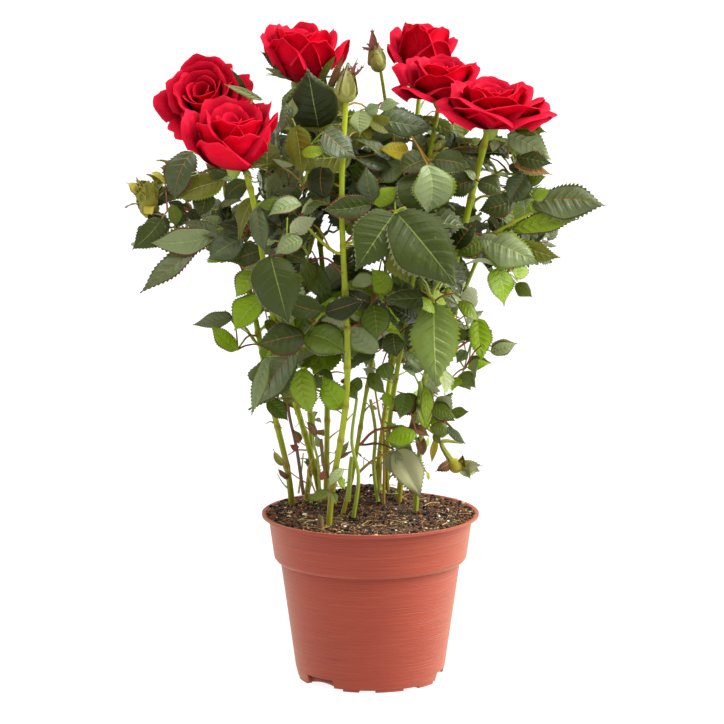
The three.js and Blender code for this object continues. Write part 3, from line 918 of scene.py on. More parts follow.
# Thin stems that bear no rose: their points in mm, thickness at both ends and colour.
THIN_STEMS = [
    ([(-50, -12, 178), (-48, -10, 160), (-44, -8, 141), (-40, -5, 112)], 0.9, 1.2, BROWN_STALK),
    ([(-40, -4, 137), (-41, -4, 127), (-43, -2, 112)], 0.4, 0.7, STRAW_STALK),
    ([(-34, -30, 139), (-37, -30, 131), (-35, -30, 125), (-32, -30, 117)], 0.5, 0.6, AMBER_STALK),
    ([(-50, -8, 128), (-44, -7, 123), (-38, -6, 119)], 0.4, 0.5, AMBER_STALK),
    ([(-49, -6, 136), (-44, -6, 139), (-38, -6, 139)], 0.3, 0.5, RED_STALK),
    ([(-33, -20, 165), (-34, -16, 148), (-31, -12, 132), (-30, -6, 108)], 0.7, 1.0, GREEN_STALK),
    ([(-11, -26, 139), (-12, -26, 130), (-13, -25, 112)], 1.3, 1.5, GREEN_STALK),
    ([(-6, -20, 145), (0, -21, 152), (6, -22, 155), (15, -23, 156), (23, -24, 156)], 0.9, 0.6, RED_STALK),
    ([(-7, -19, 128), (-2, -20, 133), (5, -20, 138), (14, -20, 142)], 0.9, 0.6, AMBER_STALK),
    ([(-4, -20, 131), (-4, -20, 136), (-3, -21, 138)], 0.3, 0.2, AMBER_STALK),
    ([(24, -18, 131), (30, -18, 132), (34, -18, 127)], 0.5, 0.3, RED_STALK),
    ([(2, -20, 182), (5, -17, 164), (8, -13, 146), (8, -6, 106)], 0.6, 1.0, AMBER_STALK),
    ([(29, -24, 184), (31, -25, 166), (29, -22, 140), (27, -12, 104)], 1.4, 1.8, GREEN_STALK),
    ([(-8, -36, 176), (-11, -34, 150), (-7, -30, 128), (-10, -24, 102)], 0.9, 1.3, GREEN_STALK),
    ([(0, -8, 170), (3, -6, 150), (2, -4, 128), (5, -2, 104)], 1.0, 1.3, GREEN_STALK),
]

# Clear air seen from the front, in the upright plane through the pot's axis: middle (x, z) and half sizes.
CLEAR_AIR = [
    (-24, 262, 7, 13), (-87, 299, 6, 9), (-72, 300, 3, 9), (-72, 250, 5, 10), (-66, 210, 4, 6),
    (-32, 235, 5, 5), (6, 247, 5, 5), (66, 300, 5, 4), (50, 297, 6, 7), (73, 288, 5, 3),
]
AIR_EDGE = 3  # kept free round clear air
BLOOM_EDGE = 4  # kept free round a rose or bud
BLOOM_SIGHT = 1.1  # how far past a bloom's outline a leaf before it must stay, squared
BEHIND_SPRAY = 5  # a leaf this far behind a listed spray may be seen past it
MASS_BOUND = 1.1  # how far out of its mass a leaf's middle may be, squared: 1 is the mass's skin
CORE_BOUND = 6.0  # the same for the leaves in the middle of the bush
TIP_OVERRUN = 0.2  # how much further out a leaf's tip may be
SIGHT_SLOPE = 0.171  # of a sight line from the front
SIGHT_RANGE = 2000.0
HIGH_LEAVES = 236  # height from which leaves have the shades of the upper bush
CORE_FOOT, CORE_TOP = 200, 322
SHORTEST_STALK = 0.6
HUB_TRIES = 14  # places tried for each leaf of a mass


def from_front(point):
    """Where a sight line from the front through a point meets the upright plane through the pot's axis."""
    return point[0] * SIGHT_RANGE / (SIGHT_RANGE + point[1]), point[2] + SIGHT_SLOPE * point[1]


class Foliage:
    """Grows the leaves: the listed sprays, then leaves in each mass of the frame by a seeded rule."""

    def __init__(self, limbs, sizes):
        self.rng = random.Random(sizes.seed)
        self.sizes = sizes
        self.limbs = limbs
        self.leaves = {}
        self.stalks = Stock()
        self.joints = [point for name in CANES + list(SHOOTS) for point in limbs[name].node_points()]
        self.middles = []
        self.shown = []
        self.bound = MASS_BOUND
        self.masses = self._ellipsoids("leaves_")
        self.blooms = self._ellipsoids(("rose_", "bud_"))

    def _ellipsoids(self, start):
        """Middle and half sizes of each node whose name starts so."""
        return {name: node_middle(name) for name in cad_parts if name.startswith(start)}

    # -- where a leaf may be --
    def depth_in(self, point):
        """The mass that holds a point, and how far out in it the point is: 1 at its skin."""
        shares = {name: float((((point - middle) / half) ** 2).sum())
                  for name, (middle, half) in self.masses.items()}
        nearest = min(shares, key=shares.get)
        return nearest, shares[nearest]

    def hides_bloom(self, point):
        """True if a point is in a rose or bud, or before one as seen from the front."""
        x, z = from_front(point)
        for middle, half in self.blooms.values():
            if (((point - middle) / (half + BLOOM_EDGE)) ** 2).sum() < 1:
                return True
            bloom_x, bloom_z = from_front(middle)
            apart = ((x - bloom_x) / half[0]) ** 2 + ((z - bloom_z) / half[2]) ** 2
            if point[1] < middle[1] and apart < BLOOM_SIGHT:
                return True
        return False

    def hides_gap_or_spray(self, point):
        """True if a point is in clear air or before a listed leaflet, as seen from the front."""
        x, z = from_front(point)
        for middle_x, middle_z, half_x, half_z in CLEAR_AIR:
            aside, above = (x - middle_x) / (half_x + AIR_EDGE), (z - middle_z) / (half_z + AIR_EDGE)
            if aside ** 2 + above ** 2 < 1:
                return True
        for shown_x, shown_y, shown_z, reach in self.shown:
            if point[1] < shown_y + BEHIND_SPRAY and hypot(x - shown_x, z - shown_z) < reach:
                return True
        return False

    def free(self, foot, tip):
        """True if a leaflet from foot to tip stays in the foliage and hides nothing that should show."""
        middle = (foot + tip) / 2
        if self.depth_in(middle)[1] > self.bound or self.depth_in(tip)[1] > self.bound + TIP_OVERRUN:
            return False
        if any(self.hides_bloom(point) or self.hides_gap_or_spray(point) for point in (foot, middle, tip)):
            return False
        gap = self.sizes.spacing / MM
        return not self.middles or np.linalg.norm(np.array(self.middles) - middle, axis=1).min() > gap

    # -- leaflets and stalks --
    def leaflet(self, foot, tip, face, width, shade, mass, blade=PLAIN_BLADE):
        stock = self.leaves.setdefault(mass, Stock())
        lay_blade(stock, blade, foot, tip, face, width, leaf_form(self.rng), leaf_parts(shade, self.rng))
        self.middles.append((foot + tip) / 2)

    def stalk(self, start, end, radius, colour, arch=0.12):
        """A thin stalk that arches between two points."""
        span = float(np.linalg.norm(end - start))
        if span < SHORTEST_STALK:
            return
        line = through([start, (start + end) / 2 + UP * span * arch, end], max(4, int(span / 4)))
        self.stalks.stem(line, radius * 1.25, radius * 0.8, 5, colour)

    def set_thin_stems(self):
        for points, foot, tip, colour in THIN_STEMS:
            self.stalks.stem(through(points, 20), foot, tip, 6, colour)

    def set_tendrils(self):
        """Thin dry side stalks and curls low on the canes."""
        rng = self.rng
        for _ in range(self.sizes.tendrils):
            line = self.limbs[rng.choice(CANES)].line
            start = line[int(len(line) * rng.uniform(0.04, 0.4))]
            turn = rng.uniform(0, FULL_TURN)
            way = np.array([cos(turn), sin(turn), rng.uniform(-0.1, 0.9)])
            reach = rng.uniform(5, 16)
            bend = start + way * reach * 0.55 + UP * rng.uniform(-1, 3)
            stray = np.array([rng.uniform(-4, 4), rng.uniform(-4, 4), rng.uniform(-5, 4)])
            end = start + way * reach + stray
            curve = through([start, bend, end], 8)
            self.stalks.stem(curve, rng.uniform(0.4, 0.7), 0.22, 5, rng.choice(STALKS))
            if rng.random() < 0.5:
                shade = rng.choice(["bright", "fresh", "mid", "olive", "russet"])
                mass, _ = self.depth_in(end)
                tip = end + unit(way + UP * rng.uniform(-0.8, 0.4)) * rng.uniform(6, 12)
                face = [rng.uniform(-1, 1), rng.uniform(-1, 1), 0.6]
                self.leaflet(end, tip, np.array(face), rng.uniform(3, 6), shade, mass)

    def set_front_sprays(self):
        """The listed sprays, each on a stalk from the nearest place on its limb that isn't above it."""
        for limb, forward, *leaflets in FRONT_SPRAYS:
            feet = np.array([(x, -forward, z) for x, z, *_ in leaflets], float)
            hub = feet.mean(0) + [0, 4, 0]
            mass, _ = self.depth_in(hub)
            line = self.limbs[limb].line
            climb = np.maximum(0, line[:, 2] - hub[2] - 4)
            root = line[(np.linalg.norm(line - hub, axis=1) + 2 * climb).argmin()]
            colour = self.rng.choice([RED_STALK, AMBER_STALK, GREEN_STALK])
            self.stalk(root, hub, 0.6, colour, 0.16)
            self.joints.append(hub)
            for foot, (_, _, heading, length, width, shade) in zip(feet, leaflets):
                self._front_leaflet(hub, foot, radians(heading), length, width, shade, mass, colour)

    def _front_leaflet(self, hub, foot, heading, length, width, shade, mass, colour):
        """A listed leaflet, faced more or less to the front, which no other leaf may hide."""
        lean = self.rng.uniform(-0.05, 0.35)
        way = np.array([sin(heading), -lean, cos(heading)])
        tip = foot + way * length
        face = np.array([self.rng.uniform(-0.55, 0.55), -1.0, self.rng.uniform(0.0, 0.9)])
        self.stalk(hub, foot, 0.48, colour, 0.05)
        self.leaflet(foot, tip, face, width, shade, mass, FINE_BLADE)
        middle = (foot + tip) / 2
        x, z = from_front(middle)
        self.shown.append((x, middle[1], z, max(width, length * 0.6) * 0.5))

    # -- the rule --
    def connect(self, hub):
        """Where a leaf's stalk starts: the best joint below the hub, or the end of a new twig from it."""
        joints = np.array(self.joints)
        away = hub - joints
        cost = np.linalg.norm(away, axis=1) + np.maximum(0, -away[:, 2]) * 1.5
        joint = joints[cost.argmin()]
        span = float(np.linalg.norm(hub - joint))
        stalk = self.sizes.stalk / MM
        if span < stalk * 1.3:
            return joint
        fork = joint + (hub - joint) * (1 - stalk / span)
        line = through([joint, (joint + fork) / 2 + UP * span * 0.08, fork], max(5, int(span / 4)))
        self.stalks.stem(line, 1.0, 0.65, 6, GREEN_STALK)
        self.joints.extend(line[3::3])
        return fork

    def compound_leaf(self, joint, hub, face, size, shade, mass):
        """A leaf of three or five leaflets: one at the end and pairs of smaller ones behind it."""
        rng = self.rng
        along = unit(hub - joint)
        face = unit(face - along * np.dot(face, along) * 0.6)
        side = unit(np.cross(along, face))
        colour = rng.choice([RED_STALK, AMBER_STALK, AMBER_STALK, GREEN_STALK])
        end = hub + along * rng.uniform(3, 6)
        tip = end + unit(along + UP * rng.uniform(-0.5, 0.05)) * size
        grown = 0
        if self.free(end, tip):
            self.leaflet(end, tip, face, size * rng.uniform(0.6, 0.74), shade, mass)
            self.stalk(hub, end, 0.42, colour, 0)
            grown += 1
        for pair in range(rng.choice([1, 1, 2])):
            root = hub - along * pair * size * 0.5
            for way in (-1, 1):
                heading = unit(side * way + along * rng.uniform(0.25, 0.6) + UP * rng.uniform(-0.35, 0.1))
                foot = root + heading * 1.5
                reach = size * rng.uniform(0.66, 0.86) * (1 - 0.15 * pair)
                tip = foot + heading * reach
                if self.free(foot, tip):
                    width = reach * rng.uniform(0.62, 0.74)
                    self.leaflet(foot, tip, face + side * way * 0.2, width, shade, mass)
                    self.stalk(root, foot, 0.4, colour, 0)
                    grown += 1
        if grown:
            self.stalk(joint, hub, 0.52, colour)

    def hubs_for(self, middle, half):
        """Hubs spread evenly through a mass, one for each share of its room."""
        rng = self.rng
        volume = 4 / 3 * pi * float(np.prod(half))
        hubs = []
        for _ in range(max(3, round(volume / (self.sizes.room / MM) ** 3))):
            tries = [middle + unit([rng.gauss(0, 1) for _ in range(3)]) * rng.uniform(0.25, 0.92) * half
                     for _ in range(HUB_TRIES)]
            gaps = [min((np.linalg.norm(spot - hub) for hub in hubs), default=0) for spot in tries]
            hubs.append(tries[int(np.argmax(gaps))])
        return hubs

    def leaf_at(self, hub, mass):
        """Grows a twig to a hub and a compound leaf from it, faced up and outward."""
        rng = self.rng
        joint = self.connect(hub)
        out = unit([hub[0], hub[1] - 5, 0])
        scatter = np.array([rng.gauss(0, 0.45), rng.gauss(0, 0.45), 0])
        face = unit(out * rng.uniform(0.2, 0.9) + UP * rng.uniform(0.25, 1.0) + scatter)
        high = hub[2] + rng.gauss(0, 18) > HIGH_LEAVES
        shade = rng.choice(SHADES_HIGH if high else SHADES_LOW)
        size = rng.uniform(self.sizes.shortest, self.sizes.longest) / MM
        self.compound_leaf(joint, hub, face, size, shade, mass)

    def fill_masses(self):
        """Leaves in each mass, those nearest to a limb or twig first."""
        for mass, (middle, half) in self.masses.items():
            joints = np.array(self.joints)
            hubs = self.hubs_for(middle, half)
            for hub in sorted(hubs, key=lambda hub: np.linalg.norm(joints - hub, axis=1).min()):
                self.leaf_at(hub, mass)

    def fill_core(self):
        """Leaves between the masses in the middle of the bush, so that it is full from the sides too."""
        rng = self.rng
        self.bound = CORE_BOUND
        for _ in range(self.sizes.core):
            z = rng.uniform(CORE_FOOT, CORE_TOP)
            across = 30 + (z - CORE_FOOT) * 0.36
            hub = np.array([rng.uniform(-across, across) - 8, rng.uniform(-0.4, 0.62) * across, z])
            mass, depth = self.depth_in(hub)
            if depth > 1:
                self.leaf_at(hub, mass)
        self.bound = MASS_BOUND


# ---- roses ----
# Each rose: the way it faces, its height from foot to heart, how far it is open from 0 to 1, the share of its
# radius that its heart takes, the number of its heart's petals and its seed. Then its outer petals, from the
# inside out: heading in degrees (0 right, 90 back), reach, lip height and half width as shares of the radius
# or the height, and how far in radians its lip rolls back.
ROSES = {
    "rose_left": ((-0.2, -0.72, 0.66), 24, 0.62, 0.52, 10, 3, [
        (95, 0.58, 0.95, 0.62, 0.5), (215, 0.58, 0.92, 0.58, 0.6), (330, 0.58, 0.92, 0.58, 0.7),
        (150, 0.74, 0.82, 0.6, 1.0), (275, 0.7, 0.8, 0.62, 0.9), (30, 0.74, 0.8, 0.58, 1.0),
        (92, 0.84, 0.84, 0.66, 0.7), (178, 1.06, 0.6, 0.4, 1.3), (228, 1.04, 0.36, 0.44, 1.2),
        (12, 0.98, 0.5, 0.5, 1.5), (312, 0.86, 0.44, 0.56, 1.2),
    ]),
    "rose_front_left": ((0.02, -0.3, 0.95), 35, 0.32, 0.46, 9, 8, [
        (70, 0.5, 0.96, 0.52, 0.4), (190, 0.5, 0.96, 0.5, 0.5), (310, 0.5, 0.93, 0.52, 0.5),
        (118, 0.66, 0.98, 0.6, 0.5), (15, 0.68, 0.98, 0.56, 0.5), (222, 0.7, 0.84, 0.58, 0.6),
        (288, 0.68, 0.76, 0.58, 0.5), (168, 0.9, 0.84, 0.52, 0.9), (350, 0.76, 0.94, 0.54, 0.8),
        (244, 0.82, 0.62, 0.62, 0.6), (60, 0.76, 0.86, 0.54, 0.8),
    ]),
    "rose_top": ((0.06, -0.06, 1.0), 33, 0.28, 0.5, 10, 5, [
        (80, 0.55, 1.0, 0.55, 0.5), (205, 0.55, 0.98, 0.55, 0.6), (320, 0.56, 0.98, 0.55, 0.7),
        (262, 0.72, 0.92, 0.6, 1.0), (140, 0.74, 0.94, 0.55, 1.1), (22, 0.74, 0.92, 0.54, 1.1),
        (190, 0.82, 0.86, 0.52, 1.3), (300, 0.8, 0.84, 0.56, 1.2), (354, 0.98, 0.8, 0.36, 1.6),
        (240, 0.82, 0.8, 0.54, 1.1), (95, 0.84, 0.86, 0.56, 1.2),
    ]),
    "rose_back": ((0.12, 0.1, 1.0), 32, 0.4, 0.52, 8, 13, [
        (90, 0.6, 1.0, 0.62, 0.5), (210, 0.6, 0.96, 0.58, 0.7), (325, 0.6, 0.96, 0.58, 0.7),
        (255, 0.8, 0.9, 0.6, 1.2), (20, 0.86, 0.84, 0.58, 1.4), (150, 0.86, 0.84, 0.58, 1.3),
        (300, 0.9, 0.66, 0.58, 1.4), (195, 1.02, 0.5, 0.46, 1.7),
    ]),
    "rose_middle": ((0.04, -0.16, 0.98), 23, 0.7, 0.48, 10, 21, [
        (80, 0.56, 0.94, 0.54, 0.6), (200, 0.56, 0.94, 0.54, 0.7), (320, 0.58, 0.94, 0.56, 0.8),
        (20, 0.8, 0.84, 0.52, 1.3), (140, 0.78, 0.84, 0.52, 1.2), (262, 0.76, 0.8, 0.58, 1.1),
        (172, 0.98, 0.84, 0.4, 1.7), (222, 1.0, 0.4, 0.5, 1.1), (296, 0.9, 0.52, 0.6, 0.9),
        (352, 0.96, 0.6, 0.46, 1.6), (62, 0.9, 0.7, 0.56, 1.4), (192, 1.06, 0.32, 0.38, 1.8),
    ]),
    "rose_right": ((0.06, -0.12, 0.99), 25, 0.9, 0.38, 9, 34, [
        (95, 0.46, 0.98, 0.48, 0.7), (215, 0.46, 0.96, 0.48, 0.8), (335, 0.48, 0.96, 0.48, 0.8),
        (40, 0.68, 0.9, 0.5, 1.1), (160, 0.68, 0.88, 0.5, 1.1), (275, 0.66, 0.86, 0.52, 1.1),
        (112, 0.8, 0.8, 0.52, 1.2), (345, 0.82, 0.78, 0.5, 1.4), (222, 0.8, 0.76, 0.54, 1.3),
        (182, 0.92, 0.62, 0.5, 1.7), (296, 0.86, 0.7, 0.66, 0.9), (246, 0.9, 0.6, 0.6, 1.0),
        (18, 0.98, 0.6, 0.46, 1.6), (208, 0.98, 0.46, 0.5, 1.3), (330, 1.0, 0.5, 0.46, 1.3),
        (358, 1.04, 0.46, 0.38, 1.8), (70, 0.92, 0.56, 0.5, 1.4),
    ]),
}
ROSE_DROP = {"rose_front_left": 7.0, "rose_top": 1.5, "rose_right": 0.5}  # how far below its node each sits
PETAL_ACROSS = np.linspace(-1, 1, 15)
PETAL_UP = np.concatenate([np.linspace(0, 0.72, 7), np.linspace(0.79, 1, 6)])
PETAL_THICKNESS = 0.4
ROLL_START = 0.76  # share of a petal's height past which it rolls back
WIDEST = 0.6  # share of its height at which a petal has its full width
WRAP_LIMIT = 1.9  # furthest that a petal wraps round the flower's axis either way, in radians

SEPAL_COLOURS = {
    "sepal_green": "5f7a30", "sepal_pale": "93a866", "sepal_red": "7a3d2c", "hip_green": "8a9f3a",
    "sepal_olive": "7d7a34", "hip_olive": "8c8c3a",
}
SEPAL_GREEN, SEPAL_PALE, SEPAL_RED, HIP, SEPAL_OLIVE, BUD_HIP = range(6)


def blade_parts(upper, under, rib, margin):
    """The material number of each part of a blade."""
    return {"upper": upper, "under": under, "rib": rib, "margin": margin}


SEPAL_PARTS = blade_parts(SEPAL_GREEN, SEPAL_PALE, SEPAL_PALE, SEPAL_RED)
TIP_PARTS = blade_parts(SEPAL_RED, SEPAL_PALE, SEPAL_RED, SEPAL_RED)
HUG_PARTS = blade_parts(SEPAL_OLIVE, SEPAL_OLIVE, SEPAL_OLIVE, SEPAL_RED)


def bezier(control, share):
    """Points and slopes of a cubic curve."""
    share = share[..., None]
    first, second, third, fourth = (np.array(point, float) for point in control)
    rest = 1 - share
    point = (first * rest ** 3 + 3 * second * rest ** 2 * share + 3 * third * rest * share ** 2
             + fourth * share ** 3)
    slope = ((second - first) * rest ** 2 + 2 * (third - second) * rest * share
             + (fourth - third) * share ** 2)
    return point, slope / np.maximum(np.linalg.norm(slope, axis=-1, keepdims=True), 1e-6)


def petal_profile(reach, rise, openness):
    """The curve of a petal's middle from the flower's foot to its lip, as radius and height."""
    spread = openness * smooth_step(5, 22, reach)
    belly = reach * (1.06 - 0.3 * spread)
    shoulder = (belly * (1.02 - 0.1 * spread), rise * (0.6 + 0.3 * spread))
    return [(reach * 0.1, 0), (belly * 0.86, 0), shoulder, (reach, rise)]


def petal_sheet(reach, rise, half, roll, openness, rng):
    """One petal's grid round the flower's axis, its lip and sides rolled back, and its marks."""
    across = PETAL_ACROSS[None, :]
    up = PETAL_UP[:, None]
    outer = float(smooth_step(5, 16, reach))
    point = rng.uniform(-0.03, 0.05) * outer
    rounded = (0.17 + 0.22 * outer) * abs(across) ** 2.9
    top = 1 - rounded + point * np.maximum(0, 1 - abs(across) / 0.3) ** 1.5
    top = top + 0.022 * outer * np.sin(3.4 * pi * across + rng.uniform(0, 6))
    share = up * top
    # The middle line, and the lip that rolls back from it on an arc.
    start = np.minimum(share, ROLL_START * top)
    middle, slope = bezier(petal_profile(reach, rise, openness), start)
    outward = np.stack([slope[..., 1], -slope[..., 0]], axis=-1)
    length = hypot(reach, rise) * 1.12
    past = (share - start) * length
    span = (1 - ROLL_START) * top * length
    angle = np.maximum(1e-3, roll * (0.7 + 0.6 * abs(across) ** 1.5 + rng.uniform(-0.1, 0.25)))
    turn = past / span * angle
    middle = middle + slope * (span * np.sin(turn) / angle)[..., None]
    middle = middle + outward * (span * (1 - np.cos(turn)) / angle)[..., None]
    # How far each point is round the axis, and how far that draws it in.
    widen = 0.3 + 0.7 * np.sin(pi / 2 * np.minimum(1, share / WIDEST))
    arc = across * half * 1.22 * widen * (1 - 0.06 * smooth_step(0.8, 1, up))
    bend = np.maximum(middle[..., 0], 1.2) * (1.0 + 0.45 * outer * openness) + 0.6
    wrap = np.clip(arc / bend, -WRAP_LIMIT, WRAP_LIMIT)
    lateral = np.sin(wrap) * bend
    tuck = (1 - np.cos(wrap)) * bend
    # Waves, rolled sides, the crease down the middle and the overlap of one petal on the next.
    phase = rng.uniform(0, 6)
    wave = half * 0.05 * np.sin(2.1 * pi * across + phase) * up ** 3 * (0.3 + outer)
    beside = np.maximum(0, abs(across) - 0.5) ** 2
    side_roll = half * (0.08 + 0.3 * openness) * outer * beside * smooth_step(0.35, 0.95, up) * roll
    spiral = (0.5 + 0.06 * reach) * across
    crease = -0.03 * half * outer * np.exp(-(across / 0.14) ** 2) * smooth_step(0.2, 0.9, up)
    radial = middle[..., 0] - tuck + spiral + wave + side_roll + crease
    height = middle[..., 1] - side_roll * 0.5
    # The rise and lip marks colour the petal: painted shade towards its foot, inside the flower, and a
    # painted pink highlight along its lip.
    marks = {"rise": smooth_step(0.05, 0.85, share), "lip": smooth_step(0.9, 1, up) * np.ones_like(across)}
    return np.stack([radial, lateral, height], axis=-1), marks


def skin(sheet, thick):
    """Closes a grid of places into a thin skin: its points, and its faces with the inner side first."""
    rows, columns, _ = sheet.shape
    normal = np.cross(np.gradient(sheet, axis=1), np.gradient(sheet, axis=0))
    normal = normal / np.maximum(np.linalg.norm(normal, axis=-1, keepdims=True), 1e-9)
    inner, outer = sheet + normal * thick / 2, sheet - normal * thick / 2
    points = np.vstack([inner.reshape(-1, 3), outer.reshape(-1, 3)])
    count = rows * columns
    grid = np.arange(count).reshape(rows, columns)
    front = np.stack([grid[:-1, :-1], grid[:-1, 1:], grid[1:, 1:], grid[1:, :-1]], axis=-1).reshape(-1, 4)
    rim = np.concatenate([grid[0], grid[1:, -1], grid[-1, -2::-1], grid[-2:0:-1, 0]])
    edge = np.stack([np.roll(rim, -1), rim, rim + count, np.roll(rim, -1) + count], axis=-1)
    faces = np.vstack([front, front[:, ::-1] + count, edge])
    return points, faces.tolist(), [0] * len(front) + [1] * len(front) + [0] * len(edge)


def add_petal(stock, foot, facing, heading, sheet, marks):
    """Sets a petal's grid on the flower's foot, turned to its heading."""
    right, back, axis = flower_frame(facing)
    points, faces, sides = skin(sheet, PETAL_THICKNESS)
    out = right * cos(heading) + back * sin(heading)
    placed = foot + points[:, :1] * out + points[:, 1:2] * np.cross(axis, out) + points[:, 2:] * axis
    both_sides = {mark: np.tile(values.ravel(), 2) for mark, values in marks.items()}
    stock.add(placed, faces, sides, **both_sides)


def add_petals(stock, foot, radius, rose, rng):
    """The petals of a flower: a heart spiralled tightly, inside first, then the listed outer petals."""
    facing, height, openness, heart, count, _, outer = rose
    for number in range(count):
        layer = (number + 0.6) / count
        reach = radius * heart * (0.14 + 0.86 * layer ** 0.8)
        rise = height * (0.86 + 0.12 * layer + rng.uniform(-0.03, 0.03))
        half = reach * (1.75 - 0.75 * layer)
        sheet, marks = petal_sheet(reach, rise, half, 0.25 + 0.45 * layer, openness * 0.4, rng)
        add_petal(stock, foot, facing, number * GOLDEN_ANGLE + rng.uniform(-0.2, 0.2), sheet, marks)
    for heading, reach, rise, half, roll in outer:
        sheet, marks = petal_sheet(radius * reach, height * rise, radius * half, roll, openness, rng)
        add_petal(stock, foot, facing, radians(heading), sheet, marks)


FEATHER = 0.17  # length of the feathers along a sepal's sides, as a share of its own


def add_sepal(stock, start, tip, face, width, droop, rng, parts=SEPAL_PARTS):
    """One sepal: a slim smooth blade with a few fine feathers along its sides."""
    form = leaf_form(rng, 0.5, 1.0)
    form.update(droop=droop, tooth=0.05, belly=0.5, pleat=0.0, wave=0.02, twist=rng.uniform(-0.9, 0.9))
    lay_blade(stock, SEPAL_BLADE, start, tip, face, width, form, parts)
    form.update(droop=0.3, twist=0.0)
    span = tip - start
    length = np.linalg.norm(span)
    side = unit(np.cross(span, face))
    bulge = unit(np.cross(side, span)) * length * droop / 2
    for way in (-1, 1):
        for place in (rng.uniform(0.32, 0.5), rng.uniform(0.56, 0.74)):
            root = start + span * place + bulge * place * (1 - place)
            point = root + (side * way * rng.uniform(0.5, 0.9) + unit(span)) * length * FEATHER
            lay_blade(stock, SEPAL_BLADE, root, point, face, 0.9, form, TIP_PARTS)


def add_sepals(stock, foot, facing, length, width, spread, count, rng):
    """Long feathered sepals that leave a flower's foot and curl back."""
    right, back, axis = flower_frame(facing)
    for number in range(count):
        angle = number * FULL_TURN / count + rng.uniform(-0.25, 0.25)
        out = right * cos(angle) + back * sin(angle)
        heading = unit(out * sin(spread) + axis * cos(spread))
        start = foot + out * 2.2
        tip = start + heading * length * rng.uniform(0.85, 1.2)
        add_sepal(stock, start, tip, unit(axis + out * 0.2), width, rng.uniform(-0.5, 0.9), rng)


# Radius of each ring of a rose's hip and its height along the axis.
HIP_PROFILE = [(1.6, -7), (3.0, -5.5), (4.2, -3), (4.6, -0.5), (3.6, 1.5), (1.5, 2.4)]
NODE_FILL = 0.95  # share of its node's half width that a rose or bud takes


def make_rose(name, petal_looks, calyx_looks):
    """One rose: its petals are one piece, its hip and sepals another."""
    rose = ROSES[name]
    facing, height, seed = rose[0], rose[1], rose[5]
    rng = random.Random(seed)
    middle, half = node_middle(name)
    axis = unit(facing)
    foot = middle - axis * height * 0.5 - UP * ROSE_DROP.get(name, 0)
    petals = Stock()
    add_petals(petals, foot, half[0] * NODE_FILL, rose, rng)
    petals.piece("petals_" + name, petal_looks, "petals", [name], 60)
    green = Stock()
    hip = foot - axis
    green.add(*urn(hip, axis, HIP_PROFILE), HIP)
    spread = radians(rng.uniform(62, 88))
    add_sepals(green, hip + axis * 0.5, facing, half[0] * 0.8, 5.2, spread, 5, rng)
    green.piece("sepals_" + name, calyx_looks, "sepals")


# Each bud's facing, seed, height as a share of its node's, its closed body's share of that, and its feathered
# tips: how far each ends to the right and to the back of the bud's axis, how high, its width and its droop.
BUDS = {
    "bud_front": ((0.05, 0, 1), 17, 1.42, 0.82, [
        (5.5, -1, 1.0, 3.4, 0.2), (10, 0, 0.9, 2.2, 0.3), (-3, 0, 0.76, 1.8, 0.3), (1, -2, 0.84, 2.4, 0.2),
    ]),
    "bud_slim": ((-0.15, 0, 1), 29, 1.04, 0.74, [
        (-0.5, -1, 1.06, 5.0, 0.15), (-9, -1, 0.66, 2.4, 1.9), (-5, 1, 0.74, 1.8, 0.6), (5, 1, 0.5, 1.8, 1.4),
    ]),
}
# Radius and height of a bud's rings, as shares of its width and body: stalk end, hip, neck and closed petals.
BUD_PROFILE = [
    (0.25, 0), (0.6, 0.04), (0.9, 0.13), (1.0, 0.26), (1.0, 0.38), (0.86, 0.52), (0.62, 0.66), (0.38, 0.8),
    (0.1, 0.97),
]


def make_bud(name, calyx_looks):
    """A closed bud hugged by its sepals, with the long reddish feathered tips that run past it."""
    facing, seed, stretch, closed, tips = BUDS[name]
    rng = random.Random(seed)
    middle, half = node_middle(name)
    right, back, axis = flower_frame(facing)
    foot = middle - axis * half[2]
    wide, tall = half[0] * NODE_FILL, half[2] * 2 * stretch
    stock = Stock()
    body = [(wide * share, tall * closed * rise) for share, rise in BUD_PROFILE]
    stock.add(*urn(foot, axis, body), BUD_HIP)
    for number in range(5):
        angle = number * FULL_TURN / 5 + rng.uniform(-0.2, 0.2)
        out = right * cos(angle) + back * sin(angle)
        start = foot + out * wide * 0.92 + axis * tall * closed * 0.16
        tip = foot + out * wide * rng.uniform(-0.1, 0.15) + axis * tall * closed * rng.uniform(0.98, 1.1)
        add_sepal(stock, start, tip, out, wide * 1.25, rng.uniform(0.4, 0.6), rng, HUG_PARTS)
    for aside, behind, rise, width, droop in tips:
        out = unit(right * aside + back * behind)
        start = foot + out * wide * 0.3 + axis * tall * closed * 0.7
        tip = foot + right * aside + back * behind + axis * tall * rise
        add_sepal(stock, start, tip, unit(out * 0.6 - back), width, droop, rng, TIP_PARTS)
    stock.piece("sepals_" + name, calyx_looks, "sepals", [name])


# ---- pot and peat, in metres ----
PAD_HEIGHT = 0.0028
PAD_INSET = 0.0002
PADS_FROM_DRAIN = [(28, 13), (59, 23), (94, 18)]  # degrees on from a drain, and width in degrees
DRAIN_SIZE = (0.021, 0.010, 0.0124)
DRAIN_TURNS = [radians(-43.5 + 120 * number) for number in range(3)]  # from the front towards the right
# Radius and height of each corner of the pot's outside, in order, as shares of its rim's radius and height.
POT_CORNERS = {
    "floor": (0.615, 0.024),
    "sole_inner": (0.631, 0.013),
    "sole": (0.671, 0.013),
    "heel": (0.6923, 0.068),
    "shoulder": (0.8308, 0.714),
    "groove": (0.8315, 0.727),
    "groove_side": (0.848, 0.728),
    "ledge": (0.8655, 0.719),
    "ledge_side": (0.8862, 0.736),
    "collar_foot": (0.8923, 0.756),
    "collar_top": (0.9385, 0.974),
    "rim_under": (1, 1),
    "rim": (1, 1),
    "lip": (0.9723, 1),
    "lip_foot": (0.9385, 0.98),
}


